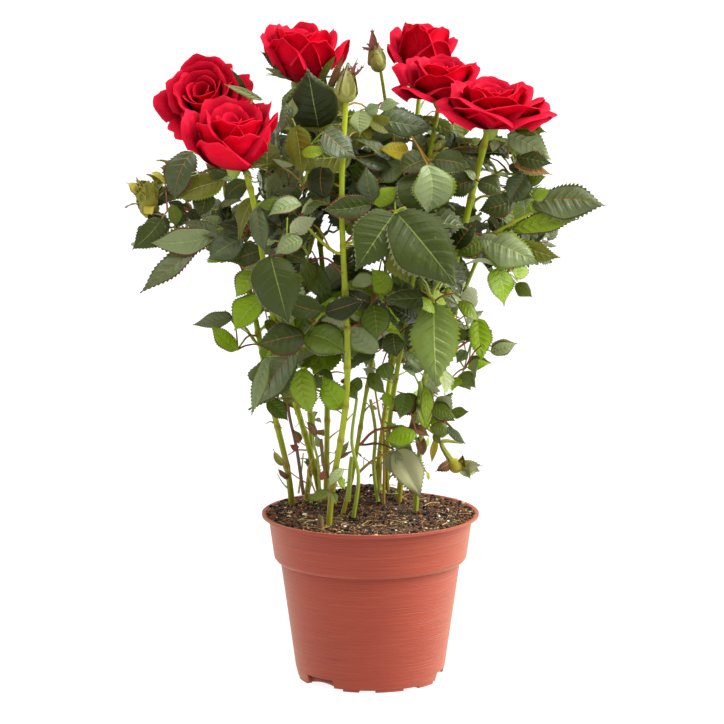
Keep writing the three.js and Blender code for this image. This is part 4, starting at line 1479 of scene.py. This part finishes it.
def pot_shape(look):
    """Radius and height of each corner of the pot, worked out from its rim."""
    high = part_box("pot")[1]
    shape = {corner: (high.x * radius, high.z * height) for corner, (radius, height) in POT_CORNERS.items()}
    shape["rim_under"] = (high.x, high.z - look.flange)
    radius, height = shape["lip_foot"]
    shape["lip_foot"] = (radius - look.wall, height)
    return shape


def extrude_through(start, corners):
    """Extrudes the selected round cap from its radius and height through each of the corners."""
    radius, height = start
    for next_radius, next_height in corners:
        bpy.ops.mesh.extrude_region_move(TRANSFORM_OT_translate={"value": (0, 0, next_height - height)})
        grow = next_radius / radius
        bpy.ops.transform.resize(value=(grow, grow, 1), center_override=(0, 0, 0))
        radius, height = next_radius, next_height


def add_primitive(add, **settings):
    """A primitive in edit mode, its place and turn applied to its mesh and all of it selected."""
    bpy.ops.object.select_all(action="DESELECT")
    add(**settings)
    bpy.ops.object.transform_apply(location=True, rotation=True, scale=False)
    bpy.ops.object.mode_set(mode="EDIT")
    bpy.ops.mesh.select_all(action="SELECT")
    return bpy.context.object


def add_disc(name, sides, radius, height):
    """A flat round cap in edit mode."""
    disc = add_primitive(bpy.ops.mesh.primitive_circle_add, vertices=sides, radius=radius, fill_type="NGON",
                         location=(0, 0, height))
    disc.name = name
    return disc


def close_edit():
    """Turns the skin outwards and leaves edit mode."""
    bpy.ops.mesh.select_all(action="SELECT")
    bpy.ops.mesh.normals_make_consistent(inside=False)
    bpy.ops.object.mode_set(mode="OBJECT")


def apply_modifier(piece, kind, **settings):
    modifier = piece.modifiers.new(kind.lower(), kind)
    for setting, value in settings.items():
        setattr(modifier, setting, value)
    select_only(piece)
    bpy.ops.object.modifier_apply(modifier=modifier.name)


def make_pot(look):
    """The pot: a disc extruded out under the foot, up the wall, over the rim and down the inside."""
    shape = pot_shape(look)
    wall = look.wall
    pot = add_disc("pot_shell", 160, *shape["floor"])
    outside = list(shape.values())[1:]
    inside = [(shape[corner][0] - wall, shape[corner][1]) for corner in ("collar_foot", "shoulder", "heel")]
    extrude_through(shape["floor"], outside + inside + [(shape["sole"][0] - wall, shape["floor"][1] + wall)])
    close_edit()
    for turn in DRAIN_TURNS:
        cut_drain(pot, turn, shape["heel"][0])
    apply_modifier(pot, "BEVEL", width=0.0004, segments=3, limit_method="ANGLE", angle_limit=radians(24))
    pads = [add_pad(turn + radians(offset), radians(width), shape)
            for turn in DRAIN_TURNS for offset, width in PADS_FROM_DRAIN]
    select_only(pot)
    for pad in pads:
        pad.select_set(True)
    bpy.ops.object.join()
    coat(pot, [plastic_finish(look)])
    settle(pot, ["pot"], 30)


def turn_in_edit(angle):
    """Turns all of the piece in edit mode about the upright axis, anticlockwise from above."""
    bpy.ops.mesh.select_all(action="SELECT")
    bpy.ops.transform.rotate(value=-angle, orient_axis="Z", center_override=(0, 0, 0))


def cut_drain(pot, turn, radius):
    place = (0, -radius, 0)
    cutter = add_primitive(bpy.ops.mesh.primitive_cube_add, size=1, location=place)
    bpy.ops.transform.resize(value=DRAIN_SIZE, center_override=place)
    turn_in_edit(turn)
    bpy.ops.object.mode_set(mode="OBJECT")
    apply_modifier(pot, "BOOLEAN", operation="DIFFERENCE", solver="EXACT", object=cutter)
    bpy.data.objects.remove(cutter)


def add_pad(turn, width, shape):
    """A low foot pad under the sole: an upright cut, spun round the pot's axis."""
    inner, outer = shape["floor"][0], shape["sole"][0] - PAD_INSET
    middle = ((inner + outer) / 2, 0, PAD_HEIGHT / 2)
    upright = (pi / 2, 0, 0)
    pad = add_primitive(bpy.ops.mesh.primitive_plane_add, size=1, location=middle, rotation=upright)
    bpy.ops.transform.resize(value=(outer - inner, 1, PAD_HEIGHT), center_override=middle)
    bpy.ops.mesh.spin(steps=8, angle=width, center=(0, 0, 0), axis=(0, 0, 1))
    turn_in_edit(turn - pi / 2 - spun_middle(pad))
    close_edit()
    return pad


def spun_middle(piece):
    """The angle of a piece's middle about the upright axis, from the right and anticlockwise."""
    piece.update_from_editmode()
    middle = sum((vertex.co for vertex in piece.data.vertices), Vector())
    return atan2(middle.y, middle.x)


MOUND_MIDDLE = 0.022
MOUND_WIDTH = 0.034
MOUND_LENGTH = 0.036
MOUND_LIFT = 0.0005  # above the top of the node, as the lumps sink it
PEAT_GAP = 0.0003  # between the peat and the wall
INSETS = 44
INSET = 0.0013
EDGE_FADE = 25  # the peat is smooth at its edge and lumpy from this share of its radius inward
LUMPS = ((0.009, 0.0022), (0.0032, 0.0016))  # size and height of the coarse and the fine lumps


def mound_height(x, y, edge_radius, edge_height, top):
    """Height of the peat: a low heap behind the canes that falls to the rim."""
    heap = exp(-(x / MOUND_WIDTH) ** 2 - ((y - MOUND_MIDDLE) / MOUND_LENGTH) ** 2)
    return edge_height + (top - edge_height) * heap * (1 - min(1.0, hypot(x, y) / edge_radius) ** 4)


def make_peat_body(look):
    """The peat: a plug that fills the pot, its top inset ring by ring, heaped and roughened."""
    shape = pot_shape(look)
    low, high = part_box("soil")
    gap = look.wall + PEAT_GAP
    edge = (shape["lip"][0] - 0.0019, shape["rim"][1] - 0.0006)
    foot = (shape["sole"][0] - gap, low.z)
    peat = add_disc("peat_body", 128, *foot)
    wall = [(shape[corner][0] - gap, shape[corner][1]) for corner in ("heel", "shoulder", "collar_foot")]
    extrude_through(foot, wall + [(shape["lip_foot"][0] - 0.0003, shape["lip_foot"][1] + 0.0002), edge])
    for _ in range(INSETS):
        bpy.ops.mesh.inset(thickness=INSET, depth=0)
    close_edit()
    surface = peat.vertex_groups.new(name="surface")
    for vertex in peat.data.vertices:
        if vertex.co.z > edge[1] - 1e-5:
            vertex.co.z = mound_height(vertex.co.x, vertex.co.y, edge[0], edge[1], high.z + MOUND_LIFT)
            inner = 1 - hypot(vertex.co.x, vertex.co.y) / edge[0]
            surface.add([vertex.index], min(1.0, inner * EDGE_FADE), "REPLACE")
    for size, strength in LUMPS:
        lumps = bpy.data.textures.new("lumps", "CLOUDS")
        lumps.noise_scale = size
        apply_modifier(peat, "DISPLACE", texture=lumps, strength=strength, mid_level=0.5, direction="Z",
                       vertex_group="surface", texture_coords="LOCAL")
    coat(peat, [peat_finish(look)])
    settle(peat, ["soil"], 60)
    return edge, high.z


# The near-black crumbs are partly dark peat and partly painted shade between the crumbs.
CRUMB_COLOURS = {
    "crumb_dark": "361e0c", "crumb_brown": "744620", "crumb_black_and_shade": "120803", "crumb_warm": "9a7048",
    "crumb_tan": "ccb080", "straw": "a89a48", "straw_pale": "cfc08a", "perlite": "eceae2",
}
WARM_CRUMB, TAN_CRUMB, STRAW, PALE_STRAW, PERLITE = range(3, 8)
# How many crumbs in a hundred have each of the first five colours, and the size past which they are coarse.
COARSE_SHARES, FINE_SHARES = [30, 38, 24, 6, 2], [20, 25, 26, 12, 17]
COARSE = 0.75
FIBRE_COLOURS = [TAN_CRUMB, WARM_CRUMB, WARM_CRUMB, STRAW, PALE_STRAW]


def ball_pattern():
    """Points and faces of a twenty-faced ball of radius one."""
    bpy.ops.object.select_all(action="DESELECT")
    bpy.ops.mesh.primitive_ico_sphere_add(subdivisions=1, radius=1)
    ball = bpy.context.object
    points = np.array([vertex.co for vertex in ball.data.vertices])
    faces = [tuple(face.vertices) for face in ball.data.polygons]
    bpy.data.objects.remove(ball)
    return points, faces


def make_crumbs(look, edge, top):
    """Loose crumbs, fibres, straw and grains of perlite that lie on the peat."""
    rng = random.Random(look.seed)
    points, faces = ball_pattern()
    crumbs = Stock()

    def lying(spread):
        """A place on the peat, in mm, within a share of its radius."""
        radius = edge[0] * spread * sqrt(rng.random())
        turn = rng.uniform(0, FULL_TURN)
        x, y = radius * cos(turn), radius * sin(turn)
        return np.array([x, y, mound_height(x, y, edge[0], edge[1], top)]) / MM

    def drop(size, colour, spread=1.02):
        stretch = np.array([rng.uniform(0.7, 1.5), rng.uniform(0.7, 1.3), rng.uniform(0.5, 1.0)])
        knocked = points * [[rng.uniform(0.75, 1.25)] for _ in points] * stretch * size
        turn = rng.uniform(0, ANY_TURN)
        knocked = np.array([turned(point, UP, turn) for point in knocked])
        crumbs.add(knocked + lying(spread) + UP * size * rng.uniform(0.0, 0.7), faces, colour)

    for _ in range(look.crumbs):
        size = 0.3 + 1.1 * rng.random() ** 4
        shares = COARSE_SHARES if size > COARSE else FINE_SHARES
        drop(size, rng.choices(range(5), shares)[0])
    for _ in range(look.perlite):
        drop(rng.uniform(0.7, 1.2), PERLITE, 0.9)
    for _ in range(look.fibres):
        start = lying(0.93)
        turn = rng.uniform(0, ANY_TURN)
        way = np.array([cos(turn), sin(turn), rng.uniform(-0.05, 0.15)])
        length = rng.uniform(4, 14)
        sag = np.array([rng.uniform(-2, 2), rng.uniform(-2, 2), rng.uniform(0.4, 1.6)])
        line = [start + UP * 0.6, start + way * length / 2 + sag, start + way * length + UP * 0.3]
        grounds = [mound_height(x * MM, y * MM, edge[0], edge[1], top) / MM for x, y, _ in line]
        line = [np.array([x, y, max(z, ground + 0.3)]) for (x, y, z), ground in zip(line, grounds)]
        thickness = rng.uniform(0.1, 0.24)
        crumbs.stem(through(line, 6), thickness, thickness, 4, rng.choice(FIBRE_COLOURS))
    crumbs.piece("peat_crumbs", plain_finishes(CRUMB_COLOURS, 0.9, 1500), "peat", crease=20)


# ---- withered bits ----
WITHERED_COLOURS = {
    "withered_olive": "8a8a2a", "withered_brown": "6b4520", "withered_grey": "9a9078",
    "withered_red": "84402c", "withered_yellow": "b4a832", "withered_pale": "9a9a6c",
    "withered_sage": "7f8250",
}
OLIVE, BROWN, GREY, RED, YELLOW, PALE, SAGE = range(7)
DRIED_PARTS = blade_parts(OLIVE, GREY, YELLOW, BROWN)
CURLED_PARTS = blade_parts(RED, OLIVE, RED, RED)
BLOOM_PARTS = blade_parts(YELLOW, OLIVE, YELLOW, RED)
BROWN_PARTS = blade_parts(BROWN, GREY, GREY, BROWN)
PALE_PARTS = blade_parts(PALE, SAGE, GREY, SAGE)
SAGE_PARTS = blade_parts(SAGE, PALE, GREY, PALE)
# Dry sheaths and curled leaves on the canes: foot (x, y, z), heading as for the sprays, length, width, droop
# and kind.
DRY_CURLS = [
    (-32, -30, 152, 327, 12, 5, 1.3, BROWN_PARTS), (-30, -31, 146, 345, 9, 4, 0.9, SAGE_PARTS),
    (-42, -12, 145, 332, 10, 5, 1.7, BROWN_PARTS), (-43, -12, 141, 300, 6, 4, 1.2, CURLED_PARTS),
    (-52, 0, 129, 329, 12, 5, 1.2, DRIED_PARTS), (-49, 0, 121, 313, 9, 4, 1.4, BROWN_PARTS),
    (23, -24, 157, 115, 14, 6, 1.0, BROWN_PARTS), (24, -24, 155, 150, 9, 5, 1.5, SAGE_PARTS),
    (29, -22, 150, 169, 11, 6, 1.9, BROWN_PARTS), (31, -21, 146, 200, 8, 5, 1.2, DRIED_PARTS),
    (-29, -41, 128, 20, 8, 3, 0.6, CURLED_PARTS), (-28, -39, 154, 5, 5, 2, 0.4, BROWN_PARTS),
    (34, -18, 128, 170, 5, 2, 0.6, BLOOM_PARTS), (-24, -37, 122, 60, 6, 3, 1.2, PALE_PARTS),
]


def curl(stock, foot, heading, face, length, width, parts, droop, rng, blade=PLAIN_BLADE):
    """A shrivelled leaf or sepal, deeply folded and curled."""
    form = leaf_form(rng, 0.6)
    form.update(droop=droop, twist=rng.uniform(-1.2, 1.2), wave=0.08, belly=rng.uniform(0.6, 0.85))
    lay_blade(stock, blade, foot, foot + unit(heading) * length, unit(face), width, form, parts)


# Radius and height of each ring of the dead bloom's body, as shares of its size.
DEAD_BODY = [(0.2, 0), (0.6, 0.4), (0.75, 1.2), (0.6, 2.1), (0.1, 2.7)]
DEAD_PETALS = 24
DEAD_KINDS = (BLOOM_PARTS, DRIED_PARTS, CURLED_PARTS, BLOOM_PARTS)
# The dead bud on the dried shoot: its rings, and the way, length, width and kind of its shrivelled leaves,
# all but the last from its crown.
SPRIG_BODY = [(2.2, -1), (3.9, 1.2), (4.6, 3.4), (4.2, 5.6), (2.6, 7.4), (0.5, 8.4)]
SPRIG_LEAVES = [
    ([0.2, -0.3, 1], 9, 5, BROWN_PARTS), ([0.9, -0.4, 0.6], 9, 6, DRIED_PARTS),
    ([1, -0.2, 0.1], 14, 7, PALE_PARTS), ([1, 0.2, -0.3], 13, 7, PALE_PARTS),
    ([0.8, -0.5, -0.8], 10, 6, SAGE_PARTS), ([-0.9, -0.4, -0.5], 12, 6, BROWN_PARTS),
]
# The withered leaf's folds: start above its top, way, face, share of its fall, width, kind and droop.
WITHERED_FOLDS = [
    (0, [0.53, -0.1, -1], [-0.35, -1, 0.25], 1.05, 18, PALE_PARTS, 0.8),
    (1, [0.9, -0.3, -0.5], [0.2, -1, 0.5], 0.5, 10, SAGE_PARTS, 0.9),
    (0, [-0.2, 0.1, -1], [-0.3, -1, 0.3], 0.6, 9, SAGE_PARTS, 0.9),
]


def dead_bloom(stock, middle, size, rng):
    """A dead bloom: a ball of shrunken petals that stand up round its hip, every sixth fallen open."""
    body = [(size * radius, size * rise) for radius, rise in DEAD_BODY]
    stock.add(*urn(middle - UP * size * 1.7, UP, body), OLIVE)
    for number in range(DEAD_PETALS):
        turn = number * GOLDEN_ANGLE
        out = np.array([cos(turn), sin(turn), 0])
        fallen = number % 6 == 5
        climb = rng.uniform(-0.9, 0.2) if fallen else rng.uniform(1.4, 3.0)
        foot = middle + out * size * rng.uniform(0.35, 0.6) - UP * size * rng.uniform(0.6, 1.5)
        parts = DEAD_KINDS[number % len(DEAD_KINDS)]
        length = size * (rng.uniform(0.9, 1.3) if fallen else rng.uniform(1.3, 2.2))
        face = UP if fallen else UP * 0.3 - out
        width = size * rng.uniform(0.7, 1.2)
        droop = rng.uniform(0.5, 1.3)
        curl(stock, foot, out + UP * climb, face, length, width, parts, droop, rng, FINE_BLADE)


def hang_dried_sprig(stock, middle, rng):
    """A dead bud that hangs by its neck from the dried shoot, with shrivelled leaves and petals round it."""
    line = read_limb("shoot_dried").line
    end = line[np.linalg.norm(line - middle, axis=1).argmin()]
    high = middle + np.array([-15, 0, 9])
    hip = middle + np.array([-9, 0, -3])
    stock.stem(through([end, high, hip], 14), 0.6, 2.2, 7, OLIVE)
    stock.add(*urn(hip, (0.75, -0.1, -0.66), SPRIG_BODY), YELLOW)
    crown = hip + np.array([5, -1, -3])
    for way, length, width, parts in SPRIG_LEAVES:
        foot = hip if way[0] < 0 else crown
        curl(stock, foot, way, [0.2, -1, 0.6], length, width, parts, rng.uniform(0.8, 1.9), rng)


def make_withered():
    """The withered bloom at the left, the dried sprig, the withered leaf, and dry sheaths among the canes."""
    rng = random.Random(5)
    stock = Stock()
    low, high = node_box("leaves_left_tip")
    depth = (low[1] + high[1]) / 2
    dead_bloom(stock, np.array([low[0] + 11, depth - 5, high[2] - 6]), 8.0, rng)
    for number in range(6):
        foot = np.array([low[0] + 12 + 3 * number, depth, high[2] - 10 + 3 * number])
        way = [rng.uniform(-1, 0.4), rng.uniform(-0.6, 0.6), rng.uniform(0.2, 1)]
        parts = (CURLED_PARTS, BLOOM_PARTS)[number % 2]
        curl(stock, foot, way, UP, 14, 5, parts, rng.uniform(0.8, 2.0), rng)
    hang_dried_sprig(stock, node_middle("sprig_dried")[0], rng)
    low, high = node_box("leaf_withered")
    top = np.array([low[0] + 2, (low[1] + high[1]) / 2, high[2] - 5])
    fall = high[2] - low[2]
    for above, way, face, share, width, parts, droop in WITHERED_FOLDS:
        curl(stock, top + UP * above, way, face, fall * share, width, parts, droop, rng, FINE_BLADE)
    for x, y, z, heading, length, width, droop, parts in DRY_CURLS:
        angle = radians(heading)
        way = [sin(angle), -0.2, cos(angle)]
        face = [rng.uniform(-0.5, 0.5), -1, 0.4]
        curl(stock, np.array([x, y, z], float), way, face, length, width, parts, droop, rng, FINE_BLADE)
    for name in ("cane_back", "cane_back_left", "cane_back_right"):
        line = read_limb(name).line
        for _ in range(3):
            way = [rng.uniform(-1, 1), rng.uniform(0.2, 1), rng.uniform(-0.6, 0.5)]
            curl(stock, line[rng.randrange(14, 30)], way, UP, 8, 4, DRIED_PARTS, 1.6, rng)
    stock.piece("withered_bits", plain_finishes(WITHERED_COLOURS, 0.75, 900), "withered",
                ["leaf_withered", "sprig_dried"])


# ---- stage ----
CAMERA_PLACE = Vector((-0.005, -2.0, 0.5335))
CAMERA_TARGET = Vector((-0.005, 0.0, 0.1913))
LENS = 169.6
SENSOR = 36
FLOOR_SIDE = 60
FLOOR_GREY = 0.15
FLOOR_GLOW = {"Emission Color": (1, 1, 1, 1), "Emission Strength": 0.9, "Specular IOR Level": 0.0}
SKY_STRENGTH = 0.42
# Each sun's tilt from straight down and turn in degrees, its strength and its softness in degrees.
SUNS = {
    "key": (50, 76, 3.1, 40),
    "top": (14, 0, 1.9, 60),
    "right_rim": (70, 108, 3.4, 60),
    "left_rim": (70, -106, 1.1, 60),
}


def make_stage():
    """A pale glowing floor, four soft suns, even sky light and the camera."""
    scene = bpy.context.scene
    scene.view_settings.view_transform = "Standard"
    bpy.ops.object.select_all(action="DESELECT")
    bpy.ops.mesh.primitive_plane_add(size=FLOOR_SIDE, location=(0, 0, 0))
    floor = bpy.context.object
    floor.name = "stage_floor"
    coat(floor, [Finish("stage_white", (FLOOR_GREY, FLOOR_GREY, FLOOR_GREY), 0.9, FLOOR_GLOW).material])
    world = bpy.data.worlds.new("studio")
    world.use_nodes = True
    sky = world.node_tree.nodes["Background"].inputs
    sky["Color"].default_value = (1, 1, 1, 1)
    sky["Strength"].default_value = SKY_STRENGTH
    scene.world = world
    for name, (tilt, turn, strength, softness) in SUNS.items():
        light = bpy.data.lights.new(name, "SUN")
        light.energy = strength
        light.angle = radians(softness)
        lamp = bpy.data.objects.new(name, light)
        lamp.rotation_euler = (radians(tilt), 0, radians(turn))
        scene.collection.objects.link(lamp)
    camera = bpy.data.objects.new("camera", bpy.data.cameras.new("camera"))
    scene.collection.objects.link(camera)
    camera.location = CAMERA_PLACE
    camera.rotation_euler = (CAMERA_TARGET - CAMERA_PLACE).to_track_quat("-Z", "Y").to_euler()
    camera.data.lens = LENS
    camera.data.sensor_width = SENSOR
    scene.camera = camera


# ---- what a user may change ----
def hue(name, description, code):
    """A colour setting, its default written as six hex digits."""
    return FloatVectorProperty(
        name=name, description=description, default=linear(code), size=3, subtype="COLOR")


def metres(name, description, default, least=0.0):
    """A setting that is a length."""
    return FloatProperty(name=name, description=description, default=default, min=least, unit="LENGTH")


def whole(name, description, default):
    """A setting that is a whole number."""
    return IntProperty(name=name, description=description, default=default, min=0)


class PotLook(bpy.types.PropertyGroup):
    """Sizes and colours of the pot and its peat."""

    wall: metres("Wall", "Thickness of the pot's wall", 0.0015, 0.0008)
    flange: metres("Rim", "Thickness of the rim's edge", 0.0014, 0.001)
    plastic: hue("Plastic", "Colour of the pot", "a04029")
    peat: hue("Peat", "Colour of the peat", "53341f")
    crumbs: whole("Crumbs", "How many crumbs lie on the peat", 5200)
    fibres: whole("Fibres", "How many fibres lie on the peat", 130)
    perlite: whole("Perlite", "How many grains of perlite show", 26)
    seed: whole("Seed", "Seed of the crumbs' places", 4)


class CaneLook(bpy.types.PropertyGroup):
    """Colours of the canes."""

    young: hue("Young bark", "Colour of green bark", "a2b01e")
    streaked: hue("Streaks", "Colour of its streaks", "8b9a14")
    foot: hue("Foot", "Colour near the peat", "85781a")
    prickles: whole("Prickles", "Prickles on each cane", 5)


class LeafSizes(bpy.types.PropertyGroup):
    """How thick and how large the foliage grows."""

    seed: whole("Seed", "Seed of the branching rule", 7)
    room: metres("Room", "Side of the cube of air that each leaf has", 0.018, 0.006)
    spacing: metres("Spacing", "Least distance between leaflets' middles", 0.0048)
    stalk: metres("Stalk", "Length of a leaf's stalk", 0.018)
    shortest: metres("Shortest", "Shortest end leaflet", 0.018)
    longest: metres("Longest", "Longest end leaflet", 0.031)
    core: whole("Core", "Leaves tried in the middle of the bush", 130)
    tendrils: whole("Tendrils", "Thin dry side stalks low on the canes", 70)


class RoseLook(bpy.types.PropertyGroup):
    """Colours of the petals."""

    # Deep is painted shade at each petal's foot, inside the flower, and also darkens its veins.
    deep: hue("Deep", "Colour in a petal's foot", "86001a")
    bright: hue("Bright", "Colour of a petal's face", "e60026")
    muted: hue("Back", "Colour of a petal's back", "c40a2c")
    # Lip is a painted pink highlight along each petal's rolled lip.
    lip: hue("Lip", "Colour along a petal's lip", "e81c3c")


class PatioRose(bpy.types.PropertyGroup):
    """All the looks of the rose in its pot."""

    pot: PointerProperty(type=PotLook)
    canes: PointerProperty(type=CaneLook)
    leaves: PointerProperty(type=LeafSizes)
    roses: PointerProperty(type=RoseLook)


# ---- the steps, each with its operator ----
OLD_WOOD = ("7d6a3c", "5d4a2c", "4b3624")  # fresh, streaked and old


def make_peat(look):
    edge, top = make_peat_body(look)
    make_crumbs(look, edge, top)


def make_canes(look):
    green = bark_finish("green_cane", look.young, look.streaked, look.foot)
    old = bark_finish("old_wood", *OLD_WOOD, 0.7)
    rng = random.Random(2)
    for name, limb in read_limbs().items():
        finish, slot = (old, "old_wood") if name in OLD_SHOOTS else (green, "green_cane")
        sides, foot_age, prickles = (14, 0.9, look.prickles) if name in CANES else (10, 0.3, 1)
        limb_stock(limb, sides, foot_age, prickles, rng).piece("bark_" + name, [finish], slot, [name])


def make_foliage(sizes):
    foliage = Foliage(read_limbs(), sizes)
    foliage.set_thin_stems()
    foliage.set_front_sprays()
    foliage.fill_masses()
    foliage.fill_core()
    foliage.set_tendrils()
    looks = leaf_finishes(LEAF_COLOURS)
    for mass, stock in foliage.leaves.items():
        stock.piece("grown_" + mass, looks, "leaves", [mass])
    bare = [mass for mass in foliage.masses if mass not in foliage.leaves]
    foliage.stalks.piece("leaf_stalks", plain_finishes(STALK_COLOURS, 0.5, 700), "leaves", bare)


def make_flowers(look):
    petal_looks = [petal_finish("petal_face", look.deep, look.bright, look.lip),
                   petal_finish("petal_back", look.deep, look.muted, look.lip)]
    calyx_looks = plain_finishes(SEPAL_COLOURS, 0.5, 700)
    for name in ROSES:
        make_rose(name, petal_looks, calyx_looks)
    for name in BUDS:
        make_bud(name, calyx_looks)


class PATIO_OT_stage(bpy.types.Operator):
    """Sets the floor, the lights and the camera"""

    bl_idname = "patio_rose.stage"
    bl_label = "Stage"

    def execute(self, context):
        make_stage()
        return {"FINISHED"}


class PATIO_OT_pot(bpy.types.Operator):
    """Models the pot with its rim, collar, drains and foot pads"""

    bl_idname = "patio_rose.pot"
    bl_label = "Pot"

    def execute(self, context):
        make_pot(context.scene.patio_rose.pot)
        return {"FINISHED"}


class PATIO_OT_peat(bpy.types.Operator):
    """Fills the pot with peat and strews its crumbs and fibres"""

    bl_idname = "patio_rose.peat"
    bl_label = "Peat"

    def execute(self, context):
        make_peat(context.scene.patio_rose.pot)
        return {"FINISHED"}


class PATIO_OT_canes(bpy.types.Operator):
    """Models the canes and side shoots with their nodes and prickles, and the old wood"""

    bl_idname = "patio_rose.canes"
    bl_label = "Canes"

    def execute(self, context):
        make_canes(context.scene.patio_rose.canes)
        return {"FINISHED"}


class PATIO_OT_foliage(bpy.types.Operator):
    """Grows the leaves on their stalks and twigs, joined region by region"""

    bl_idname = "patio_rose.foliage"
    bl_label = "Foliage"

    def execute(self, context):
        make_foliage(context.scene.patio_rose.leaves)
        return {"FINISHED"}


class PATIO_OT_roses(bpy.types.Operator):
    """Models the six roses with their hips and sepals, and the two buds"""

    bl_idname = "patio_rose.roses"
    bl_label = "Roses"

    def execute(self, context):
        make_flowers(context.scene.patio_rose.roses)
        return {"FINISHED"}


class PATIO_OT_withered(bpy.types.Operator):
    """Models the withered bloom, leaf and sprig"""

    bl_idname = "patio_rose.withered"
    bl_label = "Withered bits"

    def execute(self, context):
        make_withered()
        return {"FINISHED"}


OPERATORS = [
    PATIO_OT_stage, PATIO_OT_pot, PATIO_OT_peat, PATIO_OT_canes, PATIO_OT_foliage, PATIO_OT_roses,
    PATIO_OT_withered,
]


class PATIO_PT_panel(bpy.types.Panel):
    """Lists the looks and the pieces of the rose"""

    bl_idname = "PATIO_PT_panel"
    bl_label = "Patio rose"
    bl_space_type = "VIEW_3D"
    bl_region_type = "UI"
    bl_category = "Rose"

    def draw(self, context):
        rose = context.scene.patio_rose
        for title in type(rose).__annotations__:
            group = getattr(rose, title)
            box = self.layout.box()
            box.label(text=title.capitalize())
            for setting in type(group).__annotations__:
                box.prop(group, setting)
        for operator in OPERATORS:
            self.layout.operator(operator.bl_idname)


CLASSES = [PotLook, CaneLook, LeafSizes, RoseLook, PatioRose, *OPERATORS, PATIO_PT_panel]


def register():
    for made in CLASSES:
        bpy.utils.register_class(made)
    bpy.types.Scene.patio_rose = PointerProperty(type=PatioRose)


def unregister():
    del bpy.types.Scene.patio_rose
    for made in reversed(CLASSES):
        bpy.utils.unregister_class(made)


def main():
    """Registers the add-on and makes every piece."""
    register()
    for operator in OPERATORS:
        group, call = operator.bl_idname.split(".")
        getattr(getattr(bpy.ops, group), call)()


if __name__ == "__main__":
    main()
